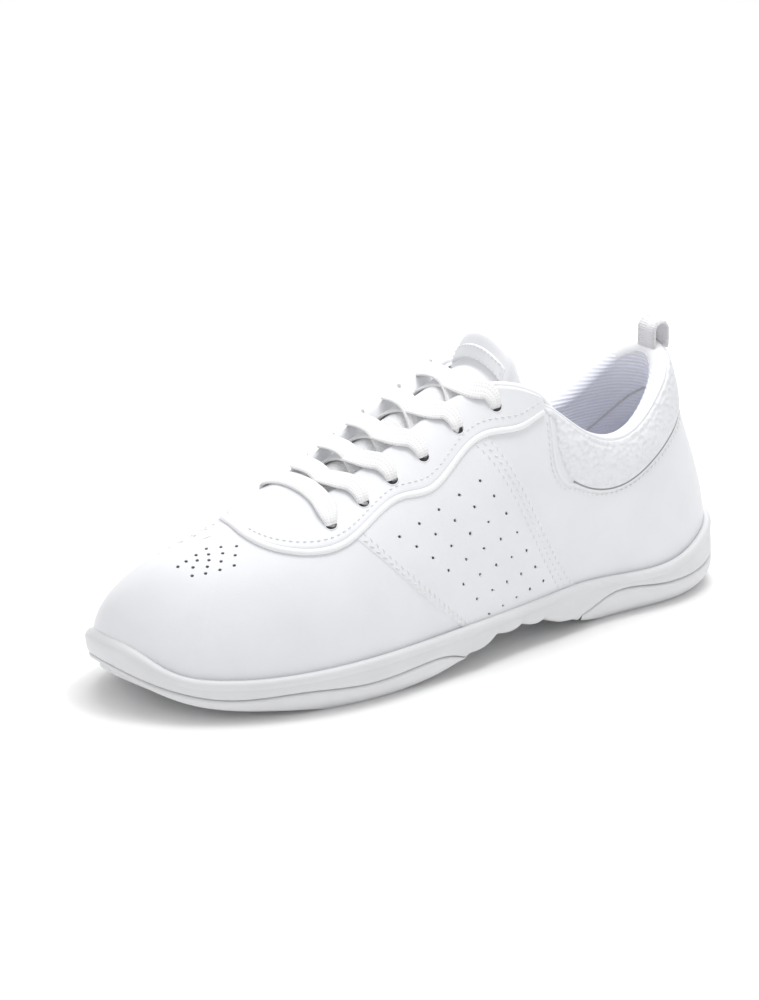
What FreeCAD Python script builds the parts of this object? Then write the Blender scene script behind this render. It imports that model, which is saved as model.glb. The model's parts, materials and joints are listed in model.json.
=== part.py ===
"""Low-top cheer shoe for the left foot, built up from its separate pieces.

Millimetres. X runs from the heel to the toe, Y to the wearer's left (the outer,
lateral side) and Z up. The origin is on the floor under the middle of the shoe.
"""
import FreeCAD
import Part
import math
import os

V = FreeCAD.Vector
os.makedirs("parts", exist_ok=True)

# ---------------------------------------------------------------- driving sizes
LENGTH = 266.5            # heel bulge to toe tip, over the sole
X0 = LENGTH / 2           # the stations below count from the heel, the origin is mid-length

UPPER_INSET = 3.4         # upper skin inside the outline of the sole at the cup
RIM_WIDTH = 2.0           # lip of the cup sole
TUCK = 4.0                # how deep the upper reaches down into the cup
LEATHER = 1.2             # outer panels
LINING = 0.7
LAYER_GAP = 0.15          # air left between bonded layers
SEAM_GAP = 0.004          # gap between neighbouring panels, as a share of the outline
PAD = 5.0                 # collar foam
EYESTAY = 1.2             # eyestay strip on top of the panels
BEAD = 1.9                # rolled edge of the eyestay

FLOOR_DROP = 4.6          # footbed below the cup's lip
BOARD = 1.5               # lasting board
INSOLE = 3.6
BALL_X = 178.0            # flex line of the footbed, from the heel

EYELETS = 6
EYELET_D = 5.0
LACE_D = 3.2

# Stations round the shoe, heel to toe tip. Each side's row holds the sole outline (x, y), the
# height of the cup's lip and the handles of the curve that the upper follows from the lip to
# its top edge: (out, up) at the sole and (out, down) at the top edge.
LATERAL = [
    (0.0, -1.0, 27.0, 1.0, 20.0, 1.0, 24.0),
    (7.5, 19.0, 24.4, 1.0, 20.0, 1.5, 22.0),
    (28.0, 30.5, 18.0, 2.0, 20.0, 2.5, 20.0),
    (58.0, 31.5, 17.0, 3.0, 20.0, 3.0, 16.0),
    (80.0, 32.5, 18.0, 4.5, 22.0, 4.0, 18.0),
    (100.0, 34.5, 16.5, 6.0, 25.0, 7.0, 22.0),
    (125.0, 38.5, 16.0, 6.0, 26.0, 15.0, 13.0),
    (152.0, 43.5, 17.5, 5.0, 24.0, 17.0, 10.0),
    (185.0, 46.5, 17.5, 4.0, 22.0, 18.0, 7.5),
    (218.0, 40.5, 15.8, 3.0, 19.0, 20.0, 5.0),
    (246.5, 24.5, 15.5, 2.0, 18.0, 22.0, 4.5),
    (261.5, 4.5, 20.0, 1.0, 16.0, 23.0, 4.5),
    (266.5, -14.0, 27.0, 0.5, 13.0, 23.0, 4.0),
]
MEDIAL = [
    (0.0, -1.0, 27.0, 1.0, 20.0, 1.0, 24.0),
    (7.0, -19.0, 24.4, 1.0, 20.0, 1.5, 22.0),
    (26.0, -30.0, 19.0, 2.0, 20.0, 2.5, 20.0),
    (55.0, -31.0, 19.0, 3.0, 20.0, 3.0, 16.0),
    (77.0, -29.0, 20.0, 5.0, 22.0, 4.0, 18.0),
    (97.0, -27.0, 20.0, 6.5, 25.0, 6.0, 22.0),
    (125.0, -28.0, 20.0, 6.5, 26.0, 12.0, 14.0),
    (150.0, -33.5, 19.5, 5.5, 24.0, 13.5, 11.0),
    (180.0, -43.0, 18.0, 4.5, 22.0, 15.0, 8.0),
    (208.0, -46.5, 17.0, 4.0, 19.0, 17.0, 4.5),
    (236.0, -43.0, 17.0, 3.0, 17.0, 18.0, 2.0),
    (259.0, -31.5, 20.0, 2.0, 15.0, 21.0, 3.5),
    (266.5, -14.0, 27.0, 0.5, 13.0, 23.0, 4.0),
]
# The upper's top edge at the same stations: x, middle between its two sides, half the gap
# between them, height. The gap is the collar's mouth, then the throat, and closes at the vamp.
TOP = [
    (20.5, -1.0, 0.0, 95.5),
    (25.5, -1.0, 13.0, 92.0),
    (37.0, -0.8, 21.3, 82.5),
    (58.0, -0.3, 26.3, 70.5),
    (78.0, 0.0, 27.0, 77.0),
    (97.0, -0.2, 24.8, 92.5),
    (120.0, -0.7, 13.8, 96.0),
    (146.0, -1.2, 12.8, 85.5),
    (172.0, -1.8, 12.6, 72.5),
    (197.0, -3.8, 9.8, 61.5),
    (212.0, -7.0, 0.0, 57.5),
    (219.0, -7.5, 0.0, 55.5),
    (224.0, -8.0, 0.0, 54.5),
]


# ---------------------------------------------------------------- smooth curves
def slopes(t, y, flat_ends):
    """Slopes of the natural cubic spline through (t, y), or of one with level ends."""
    n = len(t)
    h = [t[i + 1] - t[i] for i in range(n - 1)]
    low, mid, up, rhs = [0.0] * n, [1.0] * n, [0.0] * n, [0.0] * n
    for i in range(1, n - 1):
        low[i] = 1 / h[i - 1]
        up[i] = 1 / h[i]
        mid[i] = 2 * (low[i] + up[i])
        rhs[i] = 3 * ((y[i] - y[i - 1]) / h[i - 1] ** 2 + (y[i + 1] - y[i]) / h[i] ** 2)
    if not flat_ends:
        mid[0], up[0], rhs[0] = 2 / h[0], 1 / h[0], 3 * (y[1] - y[0]) / h[0] ** 2
        mid[-1], low[-1] = 2 / h[-1], 1 / h[-1]
        rhs[-1] = 3 * (y[-1] - y[-2]) / h[-1] ** 2
    for i in range(1, n):
        w = low[i] / mid[i - 1]
        mid[i] -= w * up[i - 1]
        rhs[i] -= w * rhs[i - 1]
    m = [0.0] * n
    m[-1] = rhs[-1] / mid[-1]
    for i in range(n - 2, -1, -1):
        m[i] = (rhs[i] - up[i] * m[i + 1]) / mid[i]
    return m


class Curve:
    """A smooth function through a few (position, value) pairs."""

    def __init__(self, t, y, flat_ends=False):
        self.t, self.y, self.m = t, y, slopes(t, y, flat_ends)

    def span(self, at):
        t = self.t
        i = 0
        while i < len(t) - 2 and at > t[i + 1]:
            i += 1
        h = t[i + 1] - t[i]
        return i, h, (at - t[i]) / h

    def __call__(self, at):
        i, h, s = self.span(at)
        a = (1 + 2 * s) * (1 - s) ** 2 * self.y[i] + s * (1 - s) ** 2 * h * self.m[i]
        b = s * s * (3 - 2 * s) * self.y[i + 1] + s * s * (s - 1) * h * self.m[i + 1]
        return a + b

    def slope(self, at):
        i, h, s = self.span(at)
        rise = 6 * s * (1 - s) * (self.y[i + 1] - self.y[i]) / h
        return rise + (1 - s) * (1 - 3 * s) * self.m[i] + s * (3 * s - 2) * self.m[i + 1]


def along(pairs):
    """A Curve through (position, value) pairs."""
    return Curve([p[0] for p in pairs], [p[1] for p in pairs])


def chord_share(rows):
    """How far along its side each station lies, as a share of the side's length."""
    run = [0.0]
    for a, b in zip(rows, rows[1:]):
        run.append(run[-1] + math.hypot(b[0] - a[0], b[1] - a[1]))
    return [r / run[-1] for r in run]


STATIONS = [(a + b) / 2 for a, b in zip(chord_share(LATERAL), chord_share(MEDIAL))]


def through(rows, column, level_ends=True):
    return Curve(STATIONS, [r[column] for r in rows], level_ends)


TOP_X, TOP_MIDDLE, TOP_GAP, TOP_Z = [through(TOP, k, k != 2) for k in range(4)]


class Side:
    """One half of the shoe: u runs 0 to 1 from heel to toe tip, v 0 to 1 from sole to top edge."""

    def __init__(self, rows, sign):
        self.sign = sign
        self.curves = [through(rows, k, k != 1) for k in range(7)]

    def outline(self, u, inset):
        """Sole outline at u, moved inward by inset."""
        x, y = self.curves[0](u), self.curves[1](u)
        ox, oy = self.outward(u)
        return x - inset * ox, y - inset * oy

    def outward(self, u):
        """Level direction straight out of the outline."""
        tx, ty = self.curves[0].slope(u), self.curves[1].slope(u)
        n = math.hypot(tx, ty)
        return -ty / n * self.sign, tx / n * self.sign

    def skin(self, u, v):
        """Point on the upper's outer skin."""
        lip, out0, up0, out1, down1 = [c(u) for c in self.curves[2:]]
        tx, tz = TOP_X(u), TOP_Z(u)
        ty = TOP_MIDDLE(u) + self.sign * max(TOP_GAP(u), 0.0)
        ox, oy = self.outward(u)
        fx, fy = self.outline(u, UPPER_INSET)
        p0 = (fx, fy, lip - TUCK)
        p1 = (fx + ox * out0, fy + oy * out0, lip + up0)
        p2 = (tx + ox * out1, ty + oy * out1, tz - down1)
        p3 = (tx, ty, tz)
        w = ((1 - v) ** 3, 3 * v * (1 - v) ** 2, 3 * v * v * (1 - v), v ** 3)
        return V(*[sum(w[k] * p[i] for k, p in enumerate((p0, p1, p2, p3))) for i in range(3)])


SIDES = {1: Side(LATERAL, 1), -1: Side(MEDIAL, -1)}


def fold(w):
    """Position w round the whole outline as (side, u): 0 heel, 1 toe tip, below 0 or past 1 medial."""
    if w < 0:
        return SIDES[-1], -w
    if w > 1:
        return SIDES[-1], 2 - w
    return SIDES[1], w


def skin(w, v):
    side, u = fold(w)
    return side.skin(u, v)


def normal(w, v):
    """Unit normal of the upper's skin, pointing out of the shoe."""
    step = 0.004
    side, u = fold(w)
    du = side.skin(min(u + step, 1.0), v) - side.skin(max(u - step, 0.0), v)
    dv = side.skin(u, min(v + step, 1.0)) - side.skin(u, max(v - step, 0.0))
    n = dv.cross(du) * side.sign
    n.normalize()
    return n


def layer(w, v, depth):
    """Point at a depth under the upper's skin."""
    return skin(w, v) - normal(w, v) * depth


def base(w):
    """Lower edge of the upper, as a share of its height, just clear of the cup's floor."""
    side, u = fold(w)
    x, lip, up = [side.curves[k](u) for k in (0, 2, 4)]
    need = along(LIP)(x) - FLOOR_DROP + 0.35 - (lip - TUCK)
    return max(need / (3 * (up + TUCK)), 0.0) + 0.003


def place(p):
    """From stations counted at the heel to the shoe's own frame."""
    return V(p.x - X0, p.y, p.z)


# ---------------------------------------------------------------- solids
def face_through(grid):
    surface = Part.BSplineSurface()
    surface.interpolate(grid)
    return surface


def closed_between(outer, inner):
    """Solid between two point grids of the same size."""
    a, b = face_through(outer), face_through(inner)
    u0, u1, v0, v1 = a.bounds()
    q0, q1, r0, r1 = b.bounds()
    edges_a = [a.uIso(u0), a.uIso(u1), a.vIso(v0), a.vIso(v1)]
    edges_b = [b.uIso(q0), b.uIso(q1), b.vIso(r0), b.vIso(r1)]
    faces = [a.toShape(), b.toShape()]
    for ea, eb in zip(edges_a, edges_b):
        faces.append(Part.makeRuledSurface(ea.toShape(), eb.toShape()))
    shell = Part.Shell(faces)
    shell.sewShape()
    solid = Part.Solid(shell)
    if solid.Volume < 0:
        solid.reverse()
    return solid


def spread(a, b, n):
    return [a + (b - a) * i / (n - 1) for i in range(n)]


def level(value):
    """A function that is the same everywhere."""
    return lambda *at: value


def panel(first, last, v0, v1, top, bottom, nu=17, nv=9):
    """Panel of the upper. first and last give w at a share of its height, so its ends may lean;
    v0(w) and v1(w) are its lower and upper edge, top(w, v) and bottom(w, v) its depths."""
    grids = []
    for depth in (top, bottom):
        rows = []
        for s in spread(0.0, 1.0, nu):
            row = []
            for t in spread(0.0, 1.0, nv):
                w = first(t) + (last(t) - first(t)) * s
                v = v0(w) + (v1(w) - v0(w)) * t
                row.append(place(layer(w, v, depth(w, v))))
            rows.append(row)
        grids.append(rows)
    return closed_between(*grids)


def save(shape, name):
    shape.exportStep("parts/" + name + ".step")
    solids = len(shape.Solids)
    print("%-24s %9.0f mm3  %d solid(s)  %s" % (name, shape.Volume, solids, shape.isValid()))


def drill(shape, w, v, diameter):
    """A round hole square through the upper at (w, v)."""
    at, n = place(skin(w, v)), normal(w, v)
    return shape.cut(Part.makeCylinder(diameter / 2, 12, at + n * 4, n * -1))


# ---------------------------------------------------------------- sole
def outline_wire(inset, z):
    """Closed outline of the sole at one height."""
    points = []
    for side, order in ((SIDES[1], 1), (SIDES[-1], -1)):
        us = spread(0.0, 1.0, 21)[::order][:-1]
        for u in us:
            x, y = side.outline(u, inset)
            points.append(place(V(x, y, z)))
    curve = Part.BSplineCurve()
    curve.interpolate(Points=points, PeriodicFlag=True)
    return Part.Wire(curve.toShape())


def bulk(levels):
    """Solid through the outline at several (height, inset) pairs."""
    return Part.makeLoft([outline_wire(inset, z) for z, inset in levels], True)


def slab(low, high):
    """Everything between two height profiles along the shoe, given as (x, z) pairs."""
    wide = 60.0
    curves = []
    for pairs in (low, high):
        c = Part.BSplineCurve()
        c.interpolate([place(V(x, -wide, z)) for x, z in pairs])
        curves.append(c.toShape())
    a, b = curves
    ends = [Part.makeLine(a.Vertexes[k].Point, b.Vertexes[k].Point) for k in (0, -1)]
    face = Part.Face(Part.Wire([a, ends[1], b, ends[0]]))
    return face.extrude(V(0, 2 * wide, 0))


LIP = [(-8, 27.5), (4, 26.5), (16, 23.5), (35, 18), (58, 17.2), (80, 18.6), (105, 17.8), (150, 18),
       (185, 17.6), (215, 16.2), (243, 15.8), (256, 19), (264, 25), (275, 29)]
TREAD = [(-8, 4.5), (5, 2.2), (20, -0.3), (45, -0.5), (66, -0.3), (80, 3.0), (95, 8.5), (112, 11.0),
         (128, 10.5), (145, 5.5), (163, 1.0), (180, -0.4), (200, -0.2), (225, 2.6), (250, 6.5),
         (262, 11.5), (275, 17.5)]
GROOVE_HEEL = [(-8, 16.0), (5, 13.0), (20, 10.6), (45, 10.2), (68, 10.8), (78, 7.0), (90, 3.0)]
GROOVE_FRONT = [(138, 4.0), (148, 8.4), (165, 9.8), (190, 8.4), (215, 9.4), (243, 8.8),
                (258, 12.5), (275, 19.0)]
SOLE_WALL = [(-1.0, 6.5), (4.0, 1.6), (11.0, 0.0), (20.0, 0.5), (32.0, 2.0)]
HEEL_PAD_END = 82.0
FRONT_PAD_START = 141.0
COLUMNS = [(93.0, 6.0), (106.0, 6.5), (119.5, 6.8)]     # centre and half length of each lobe


def shifted(pairs, dz):
    return [(x, z + dz) for x, z in pairs]


def block(x0, x1, z0=-5.0, z1=60.0):
    return Part.makeBox(x1 - x0, 120, z1 - z0, place(V(x0, -60, z0)))


def sole_body():
    """The whole sole, with its heel and ball pads cut flat where they stand on the floor."""
    return bulk(SOLE_WALL).common(slab(TREAD, LIP)).common(block(-8, 272, 0.0))


def tread_lines(shape, first, last, pitch, depth=1.6, wide=2.2):
    """Cross grooves moulded into an outsole pad."""
    x = first
    while x < last:
        ground = max(along(TREAD)(x), 0.0)
        shape = shape.cut(Part.makeBox(wide, 120, depth + 4, place(V(x, -60, ground - 4))))
        x += pitch
    return shape


def sole():
    body = sole_body()
    heel_cut = block(-8, HEEL_PAD_END).common(slab(shifted(GROOVE_HEEL, -40), GROOVE_HEEL))
    front_cut = block(FRONT_PAD_START, 272).common(slab(shifted(GROOVE_FRONT, -40), GROOVE_FRONT))
    heel = body.common(heel_cut)
    front = body.common(front_cut)
    middle = body.cut(heel_cut).cut(front_cut)
    hollow = bulk([(z, RIM_WIDTH) for z in (2.0, 20.0, 40.0)])
    hollow = hollow.common(slab(shifted(LIP, -FLOOR_DROP), shifted(LIP, 30)))
    save(tread_lines(heel, 14.0, 64.0, 9.0), "heel_outsole")
    save(tread_lines(front, 158.0, 250.0, 10.0), "forefoot_outsole")
    save(middle.cut(hollow), "midsole")
    lobes = []
    for side in SIDES.values():
        for x, half in COLUMNS:
            u = min(spread(0, 1, 401), key=lambda t: abs(side.curves[0](t) - x))
            cx, cy = side.outline(u, 6.6)
            top = along(TREAD)(x) - LAYER_GAP
            ring = Part.Ellipse(place(V(cx, cy, top - 2.4)), half, 5.2).toShape()
            lobes.append(Part.Face(Part.Wire(ring)).extrude(V(0, 0, 2.4)).cut(body))
    save(Part.makeCompound(lobes), "arch_columns")


def footbed():
    """Lasting board and the sockliner, which parts at the ball so its rear can be lifted."""
    board_low = shifted(LIP, -FLOOR_DROP + LAYER_GAP)
    board_high = shifted(board_low, BOARD)
    inside = bulk([(z, 6.6) for z in (2.0, 20.0, 40.0)])
    save(inside.common(slab(board_low, board_high)), "lasting_board")
    low = shifted(board_high, LAYER_GAP)
    sock = bulk([(z, 8.6) for z in (2.0, 20.0, 40.0)]).common(slab(low, shifted(low, INSOLE)))
    save(sock.common(block(BALL_X + 0.6, 272)), "insole_front")
    save(sock.common(block(-8, BALL_X - 0.6)), "insole_rear")


# ---------------------------------------------------------------- upper
SIGNS = ((1, "lateral"), (-1, "medial"))
ROLL = 0.94                     # height share where the collar's rolled rim starts
EDGE = 0.985                    # upper edge of the panels along the throat
COLLAR_END = 0.362              # front end of the collar on the outline
COLLAR_BACK = 0.352             # where its padding stops, just behind the ankle panels
TIP = 0.375                     # rear tip of the eyestay
STAY_FRONT = 0.840              # where the two arms of the eyestay meet in front of the throat


def front_seam(v):
    """Front seam of the side panel: leans forward as it rises, less so near the top."""
    return 0.4985 + 0.385 * v - 0.175 * v * v


def rear_seam(v):
    return 0.310 + 0.203 * v


def ankle_back(v):
    """Rear edge of the quarter's front part, beside the collar."""
    return 0.300 + 0.055 * min(v / 0.64, 1.0)


COLLAR_LOW = along([(0.0, 0.71), (0.12, 0.705), (0.20, 0.685), (0.26, 0.635), (0.32, 0.62),
                    (0.365, 0.665)])
STAY_LOW = along([(0.371, 0.94), (0.412, 0.80), (0.467, 0.763), (0.496, 0.745), (0.530, 0.695),
                  (0.560, 0.675), (0.604, 0.722), (0.628, 0.722), (0.660, 0.685), (0.690, 0.652),
                  (0.720, 0.665), (0.756, 0.725), (0.795, 0.815), (0.846, 0.995)])
EYELET_U = (0.704, 0.656, 0.607, 0.554, 0.500, 0.442)
EYELET_V = (0.785, 0.805, 0.825, 0.828, 0.840, 0.882)
# Vent holes in each half of the vamp, in rows that fan out from the toe.
VENTS = ((0.834, 0.821), (0.834, 0.758), (0.833, 0.692), (0.867, 0.831), (0.857, 0.779), (0.856, 0.724),
         (0.854, 0.669), (0.913, 0.847), (0.894, 0.792), (0.885, 0.746), (0.882, 0.700), (0.880, 0.656),
         (0.931, 0.804), (0.916, 0.756), (0.915, 0.704), (0.906, 0.645), (0.943, 0.755), (0.950, 0.709))
VENT_D = 1.4


def halves(name, make):
    """A piece with a lateral and a medial half, saved as one."""
    parts = [make(sign) for sign, _ in SIGNS]
    save(Part.makeCompound(parts), name)


def pierce(shape, sign, diameter=EYELET_D):
    for u, v in zip(EYELET_U, EYELET_V):
        shape = drill(shape, sign * u, v, diameter)
    return shape


def line(at, sign, offset=0.0):
    """A leaning seam on one side of the shoe, moved along the outline by offset."""
    return lambda v: sign * (at(v) + offset)


def ventilate(shape, sign):
    for u, v in VENTS:
        shape = drill(shape, sign * u, v, VENT_D)
    return shape


def perforate(shape, sign):
    """Five leaning rows of seven vent holes in the side panel."""
    for i in range(5):
        top_w, top_v = 0.487 + 0.0325 * i, 0.588 - 0.0095 * i
        low_w, low_v = 0.379 + 0.024 * i, 0.138 - 0.016 * i
        for k in range(7):
            w = top_w + (low_w - top_w) * k / 6
            v = top_v + (low_v - top_v) * k / 6
            shape = drill(shape, sign * w, v, VENT_D)
    return shape


def outer_panels():
    skin_top, skin_bottom = level(0.0), level(LEATHER)
    for sign, name in SIGNS:
        side_panel = panel(line(rear_seam, sign, SEAM_GAP), line(front_seam, sign, -SEAM_GAP),
                           base, level(EDGE), skin_top, skin_bottom)
        save(perforate(pierce(side_panel, sign), sign), "side_panel_" + name)
        heel = panel(level(sign * 0.002), lambda t: sign * (0.300 + 0.055 * t), base,
                     lambda w: COLLAR_LOW(abs(w)), skin_top, skin_bottom, nu=25)
        ankle = panel(line(ankle_back, sign, 0.0006), line(rear_seam, sign), base, level(EDGE),
                      skin_top, skin_bottom, nu=9, nv=17)
        save(Part.makeCompound([heel, pierce(ankle, sign)]), "rear_quarter_" + name)

    def half(sign):
        shape = panel(line(front_seam, sign), level(sign * 0.9994), base, level(0.999),
                      skin_top, skin_bottom, nu=25)
        return ventilate(pierce(shape, sign), sign)
    halves("vamp", half)


def eyestay():
    top, bottom = level(-EYESTAY - LAYER_GAP), level(-LAYER_GAP)
    bead_top = level(-BEAD)

    def low(w):
        return min(STAY_LOW(abs(w)), 0.965)

    def strip(sign):
        shape = panel(level(sign * TIP), level(sign * STAY_FRONT), lambda w: low(w) + 0.018,
                      level(0.997), top, bottom, nu=41)
        return pierce(shape, sign)

    def bead(sign):
        return panel(level(sign * TIP), level(sign * STAY_FRONT), lambda w: low(w) - 0.016,
                     lambda w: low(w) + 0.014, bead_top, bottom, nu=49, nv=3)

    def backing(sign):
        shape = panel(level(sign * 0.405), level(sign * 0.79), lambda w: 0.735 + 0.1 * abs(abs(w) - 0.6),
                      level(EDGE), level(LEATHER + LAYER_GAP), level(LEATHER + 0.75), nu=21, nv=5)
        return pierce(shape, sign)
    halves("eyestay", strip)
    halves("eyestay_bead", bead)
    halves("eyestay_backing", backing)


def swell(v):
    """Thickness of the collar padding behind height share v, from nothing up to PAD."""
    t = min(max((v - 0.40) / 0.22, 0.0), 1.0)
    return PAD * t * t * (3 - 2 * t)


INNER = LEATHER + LAYER_GAP
COUNTER = 1.4


def lining_top(w, v):
    return INNER + COUNTER + LAYER_GAP + swell(v) * 0.80


def collar():
    ends = level(-COLLAR_BACK), level(COLLAR_BACK)
    outer = panel(*ends, lambda w: COLLAR_LOW(abs(w)) + 0.012, level(ROLL), level(-0.6), level(0.6), nu=41)
    save(outer, "collar_panel")
    foam = panel(*ends, lambda w: 0.66 - 0.02 * abs(w), level(ROLL), level(INNER),
                 lambda w, v: lining_top(w, v) - LAYER_GAP, nu=33)
    save(foam, "collar_foam")
    lining = panel(*ends, level(0.12), level(ROLL), lining_top,
                   lambda w, v: lining_top(w, v) + LINING, nu=33, nv=13)
    save(lining, "collar_lining")
    save(panel(level(-0.27), level(0.27), level(0.03), level(0.58), level(INNER),
               level(INNER + COUNTER), nu=25), "heel_counter")
    rim_outer, rim_inner = [], []
    for w in spread(-COLLAR_BACK, COLLAR_BACK, 41):
        near, far = layer(w, ROLL, -0.6), layer(w, ROLL, lining_top(w, ROLL) + LINING)
        middle, across = (near + far) * 0.5, (near - far) * 0.5
        up = skin(w, 1.0) - skin(w, ROLL)
        up.normalize()
        arcs = []
        for shrink in (1.0, 1.0 - 0.9 / across.Length):
            arc = []
            for turn in spread(0.0, math.pi, 9):
                rise = up * (across.Length * math.sin(turn) * shrink + 0.15)
                arc.append(place(middle + across * (math.cos(turn) * shrink) + rise))
            arcs.append(arc)
        rim_outer.append(arcs[0])
        rim_inner.append(arcs[1])
    save(closed_between(rim_outer, rim_inner), "collar_rim")


def front_lining():
    top, bottom = level(LEATHER + 0.75 + LAYER_GAP), level(LEATHER + 0.75 + LAYER_GAP + LINING)

    def quarter(sign):
        shape = panel(level(sign * (COLLAR_END + 0.004)), level(sign * 0.80), level(0.12), level(0.975),
                      top, bottom, nu=25)
        return pierce(shape, sign)

    def toe(sign):
        return panel(level(sign * 0.803), level(sign * 0.997), level(0.12), level(0.9965),
                     top, bottom, nu=15)

    def puff(sign):
        return panel(level(sign * 0.885), level(sign * 0.997), level(0.03), level(0.62),
                     level(INNER), level(LEATHER + 0.75), nu=11)
    halves("quarter_lining", quarter)
    halves("vamp_lining", toe)
    halves("toe_puff", puff)


# ---------------------------------------------------------------- tongue
TONGUE_DEPTH = 7.6              # tongue's face under the upper's skin beside the throat
TONGUE_RISE = 3.8               # how far it stands up between the two arms
FACING = 0.9
TONGUE_PAD = 3.6
HINGE_U = 0.440                 # last eyelet: the tongue is free above it
TONGUE_COLUMNS = (0.70, 0.80, 0.90, 1.0)


def tongue_row(u, depth):
    """Points across the tongue at u, lateral to medial, at a depth under its face."""
    down = TONGUE_DEPTH + depth
    lateral = [layer(u, v, down) for v in TONGUE_COLUMNS]
    medial = [layer(-u, v, down) for v in TONGUE_COLUMNS]
    crown = (lateral[-1] + medial[-1]) * 0.5 + V(0, 0, TONGUE_RISE)
    return lateral + [crown] + medial[::-1]


def free_row(s, depth):
    """Points across the free top of the tongue, s from 0 at its root to 1 at its edge."""
    face = tongue_row(HINGE_U - 0.012, 0.0)
    middle = face[len(face) // 2]
    row = []
    for p, q in zip(tongue_row(HINGE_U - 0.012, depth), face):
        aside = abs(q.y - middle.y) / 19.0
        lift = V(-(4.5 + 4.6 * aside ** 2) * s, 0, (13.0 - 3.6 * aside ** 3) * s)
        gather = V((middle.x - q.x) * 0.6 * s, (middle.y - q.y) * 0.16 * s, (middle.z - q.z) * 0.25 * s)
        row.append(p + lift + gather)
    return row


def tongue():
    fixed = spread(0.80, HINGE_U + 0.012, 15)
    free = spread(0.0, 1.0, 6)
    bands = (("facing", 0.0, FACING), ("pad", FACING + LAYER_GAP, FACING + TONGUE_PAD),
             ("lining", FACING + TONGUE_PAD + LAYER_GAP, FACING + TONGUE_PAD + LINING))
    for name, top, bottom in bands:
        grids = [[[place(p) for p in tongue_row(u, d)] for u in fixed] for d in (top, bottom)]
        save(closed_between(*grids), "tongue_" + name)
        grids = [[[place(p) for p in free_row(s, d)] for s in free] for d in (top, bottom)]
        save(closed_between(*grids), "tongue_top_" + name)


# ---------------------------------------------------------------- lace
LACE_OVER = EYESTAY + LAYER_GAP + LACE_D / 2 + 1.5
LACE_UNDER = LEATHER + 0.75 + LAYER_GAP + LINING + LACE_D / 2 + 0.45
AGLET_LENGTH = 18.0


def crossing(u, height):
    """Point in the middle of the throat, at a height over the line between its two edges."""
    return (skin(u, 1.0) + skin(-u, 1.0)) * 0.5 + V(0, 0, height)


def strand(sign):
    """Half of the lace, from the middle of the lowest bar to its tucked end."""
    points = [layer(sign * EYELET_U[0], 0.94, -LACE_OVER),
              layer(sign * EYELET_U[0], EYELET_V[0], -LACE_OVER)]
    high = 4.6 if sign > 0 else 0.9
    for k in range(EYELETS - 1):
        u, v, step = EYELET_U[k], EYELET_V[k], EYELET_U[k + 1] - EYELET_U[k]
        points.append(layer(sign * u, v, LACE_UNDER))
        points.append(layer(sign * (u + 0.30 * step), 0.97, LACE_UNDER))
        points.append(crossing(u + 0.52 * step, high))
        sign = -sign
        points.append(layer(sign * (u + 0.80 * step), 0.985, -LACE_OVER))
        points.append(layer(sign * EYELET_U[k + 1], EYELET_V[k + 1], -LACE_OVER))
        high = 5.5 - high
    u, v = EYELET_U[-1], EYELET_V[-1]
    points.append(layer(sign * u, v, LACE_UNDER))
    points.append(layer(sign * (u - 0.004), 0.74, LACE_UNDER + 1.2))
    points.append(layer(sign * (u - 0.008), 0.60, LACE_UNDER + 3.6))
    return points


def rounded(points):
    """Straight runs through the points, joined by tangent arcs as large as the runs allow."""
    edges, start, radii = [], points[0], []
    for a, b, c in zip(points, points[1:], points[2:]):
        back, ahead = a - b, c - b
        cut = 0.45 * min(back.Length, ahead.Length)
        turn = math.pi - back.getAngle(ahead)
        radii.append(cut / math.tan(turn / 2))
        back.normalize()
        ahead.normalize()
        p, q = b + back * cut, b + ahead * cut
        toward = back + ahead
        toward.normalize()
        middle = b + toward * (radii[-1] / math.cos(turn / 2) - radii[-1])
        edges.append(Part.LineSegment(start, p).toShape())
        edges.append(Part.Arc(p, middle, q).toShape())
        start = q
    edges.append(Part.LineSegment(start, points[-1]).toShape())
    return Part.Wire(edges), radii


def lace():
    route = [place(p) for p in strand(-1)[::-1] + strand(1)]
    wire, radii = rounded(route)
    ring = Part.Circle(route[0], route[1] - route[0], LACE_D / 2).toShape()
    tube = wire.makePipeShell([Part.Wire(ring)], True, False)
    expect = wire.Length * math.pi * LACE_D ** 2 / 4
    print("lace %.0f mm, radii %.1f to %.1f, volume over expected %.3f"
          % (wire.Length, min(radii), max(radii), tube.Volume / expect))
    save(tube, "lace")
    for end, before, name in ((route[0], route[1], "medial"), (route[-1], route[-2], "lateral")):
        way = end - before
        way.normalize()
        save(Part.makeCylinder(LACE_D / 2 + 0.15, AGLET_LENGTH, end + way * 0.05, way), "aglet_" + name)


# ---------------------------------------------------------------- pull loop
LOOP_WIDTH = 10.0
LOOP_GAP = 5.2
WEBBING = 1.3
LOOP_HEIGHT = 8.8


def loop_pivot():
    """Middle of the collar's rolled rim at the back of the heel."""
    near, far = layer(0.0, ROLL, -0.6), layer(0.0, ROLL, lining_top(0.0, ROLL) + LINING)
    up = skin(0.0, 1.0) - skin(0.0, ROLL)
    up.normalize()
    return (near + far) * 0.5 + up * 0.15, (near - far).Length / 2


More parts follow.
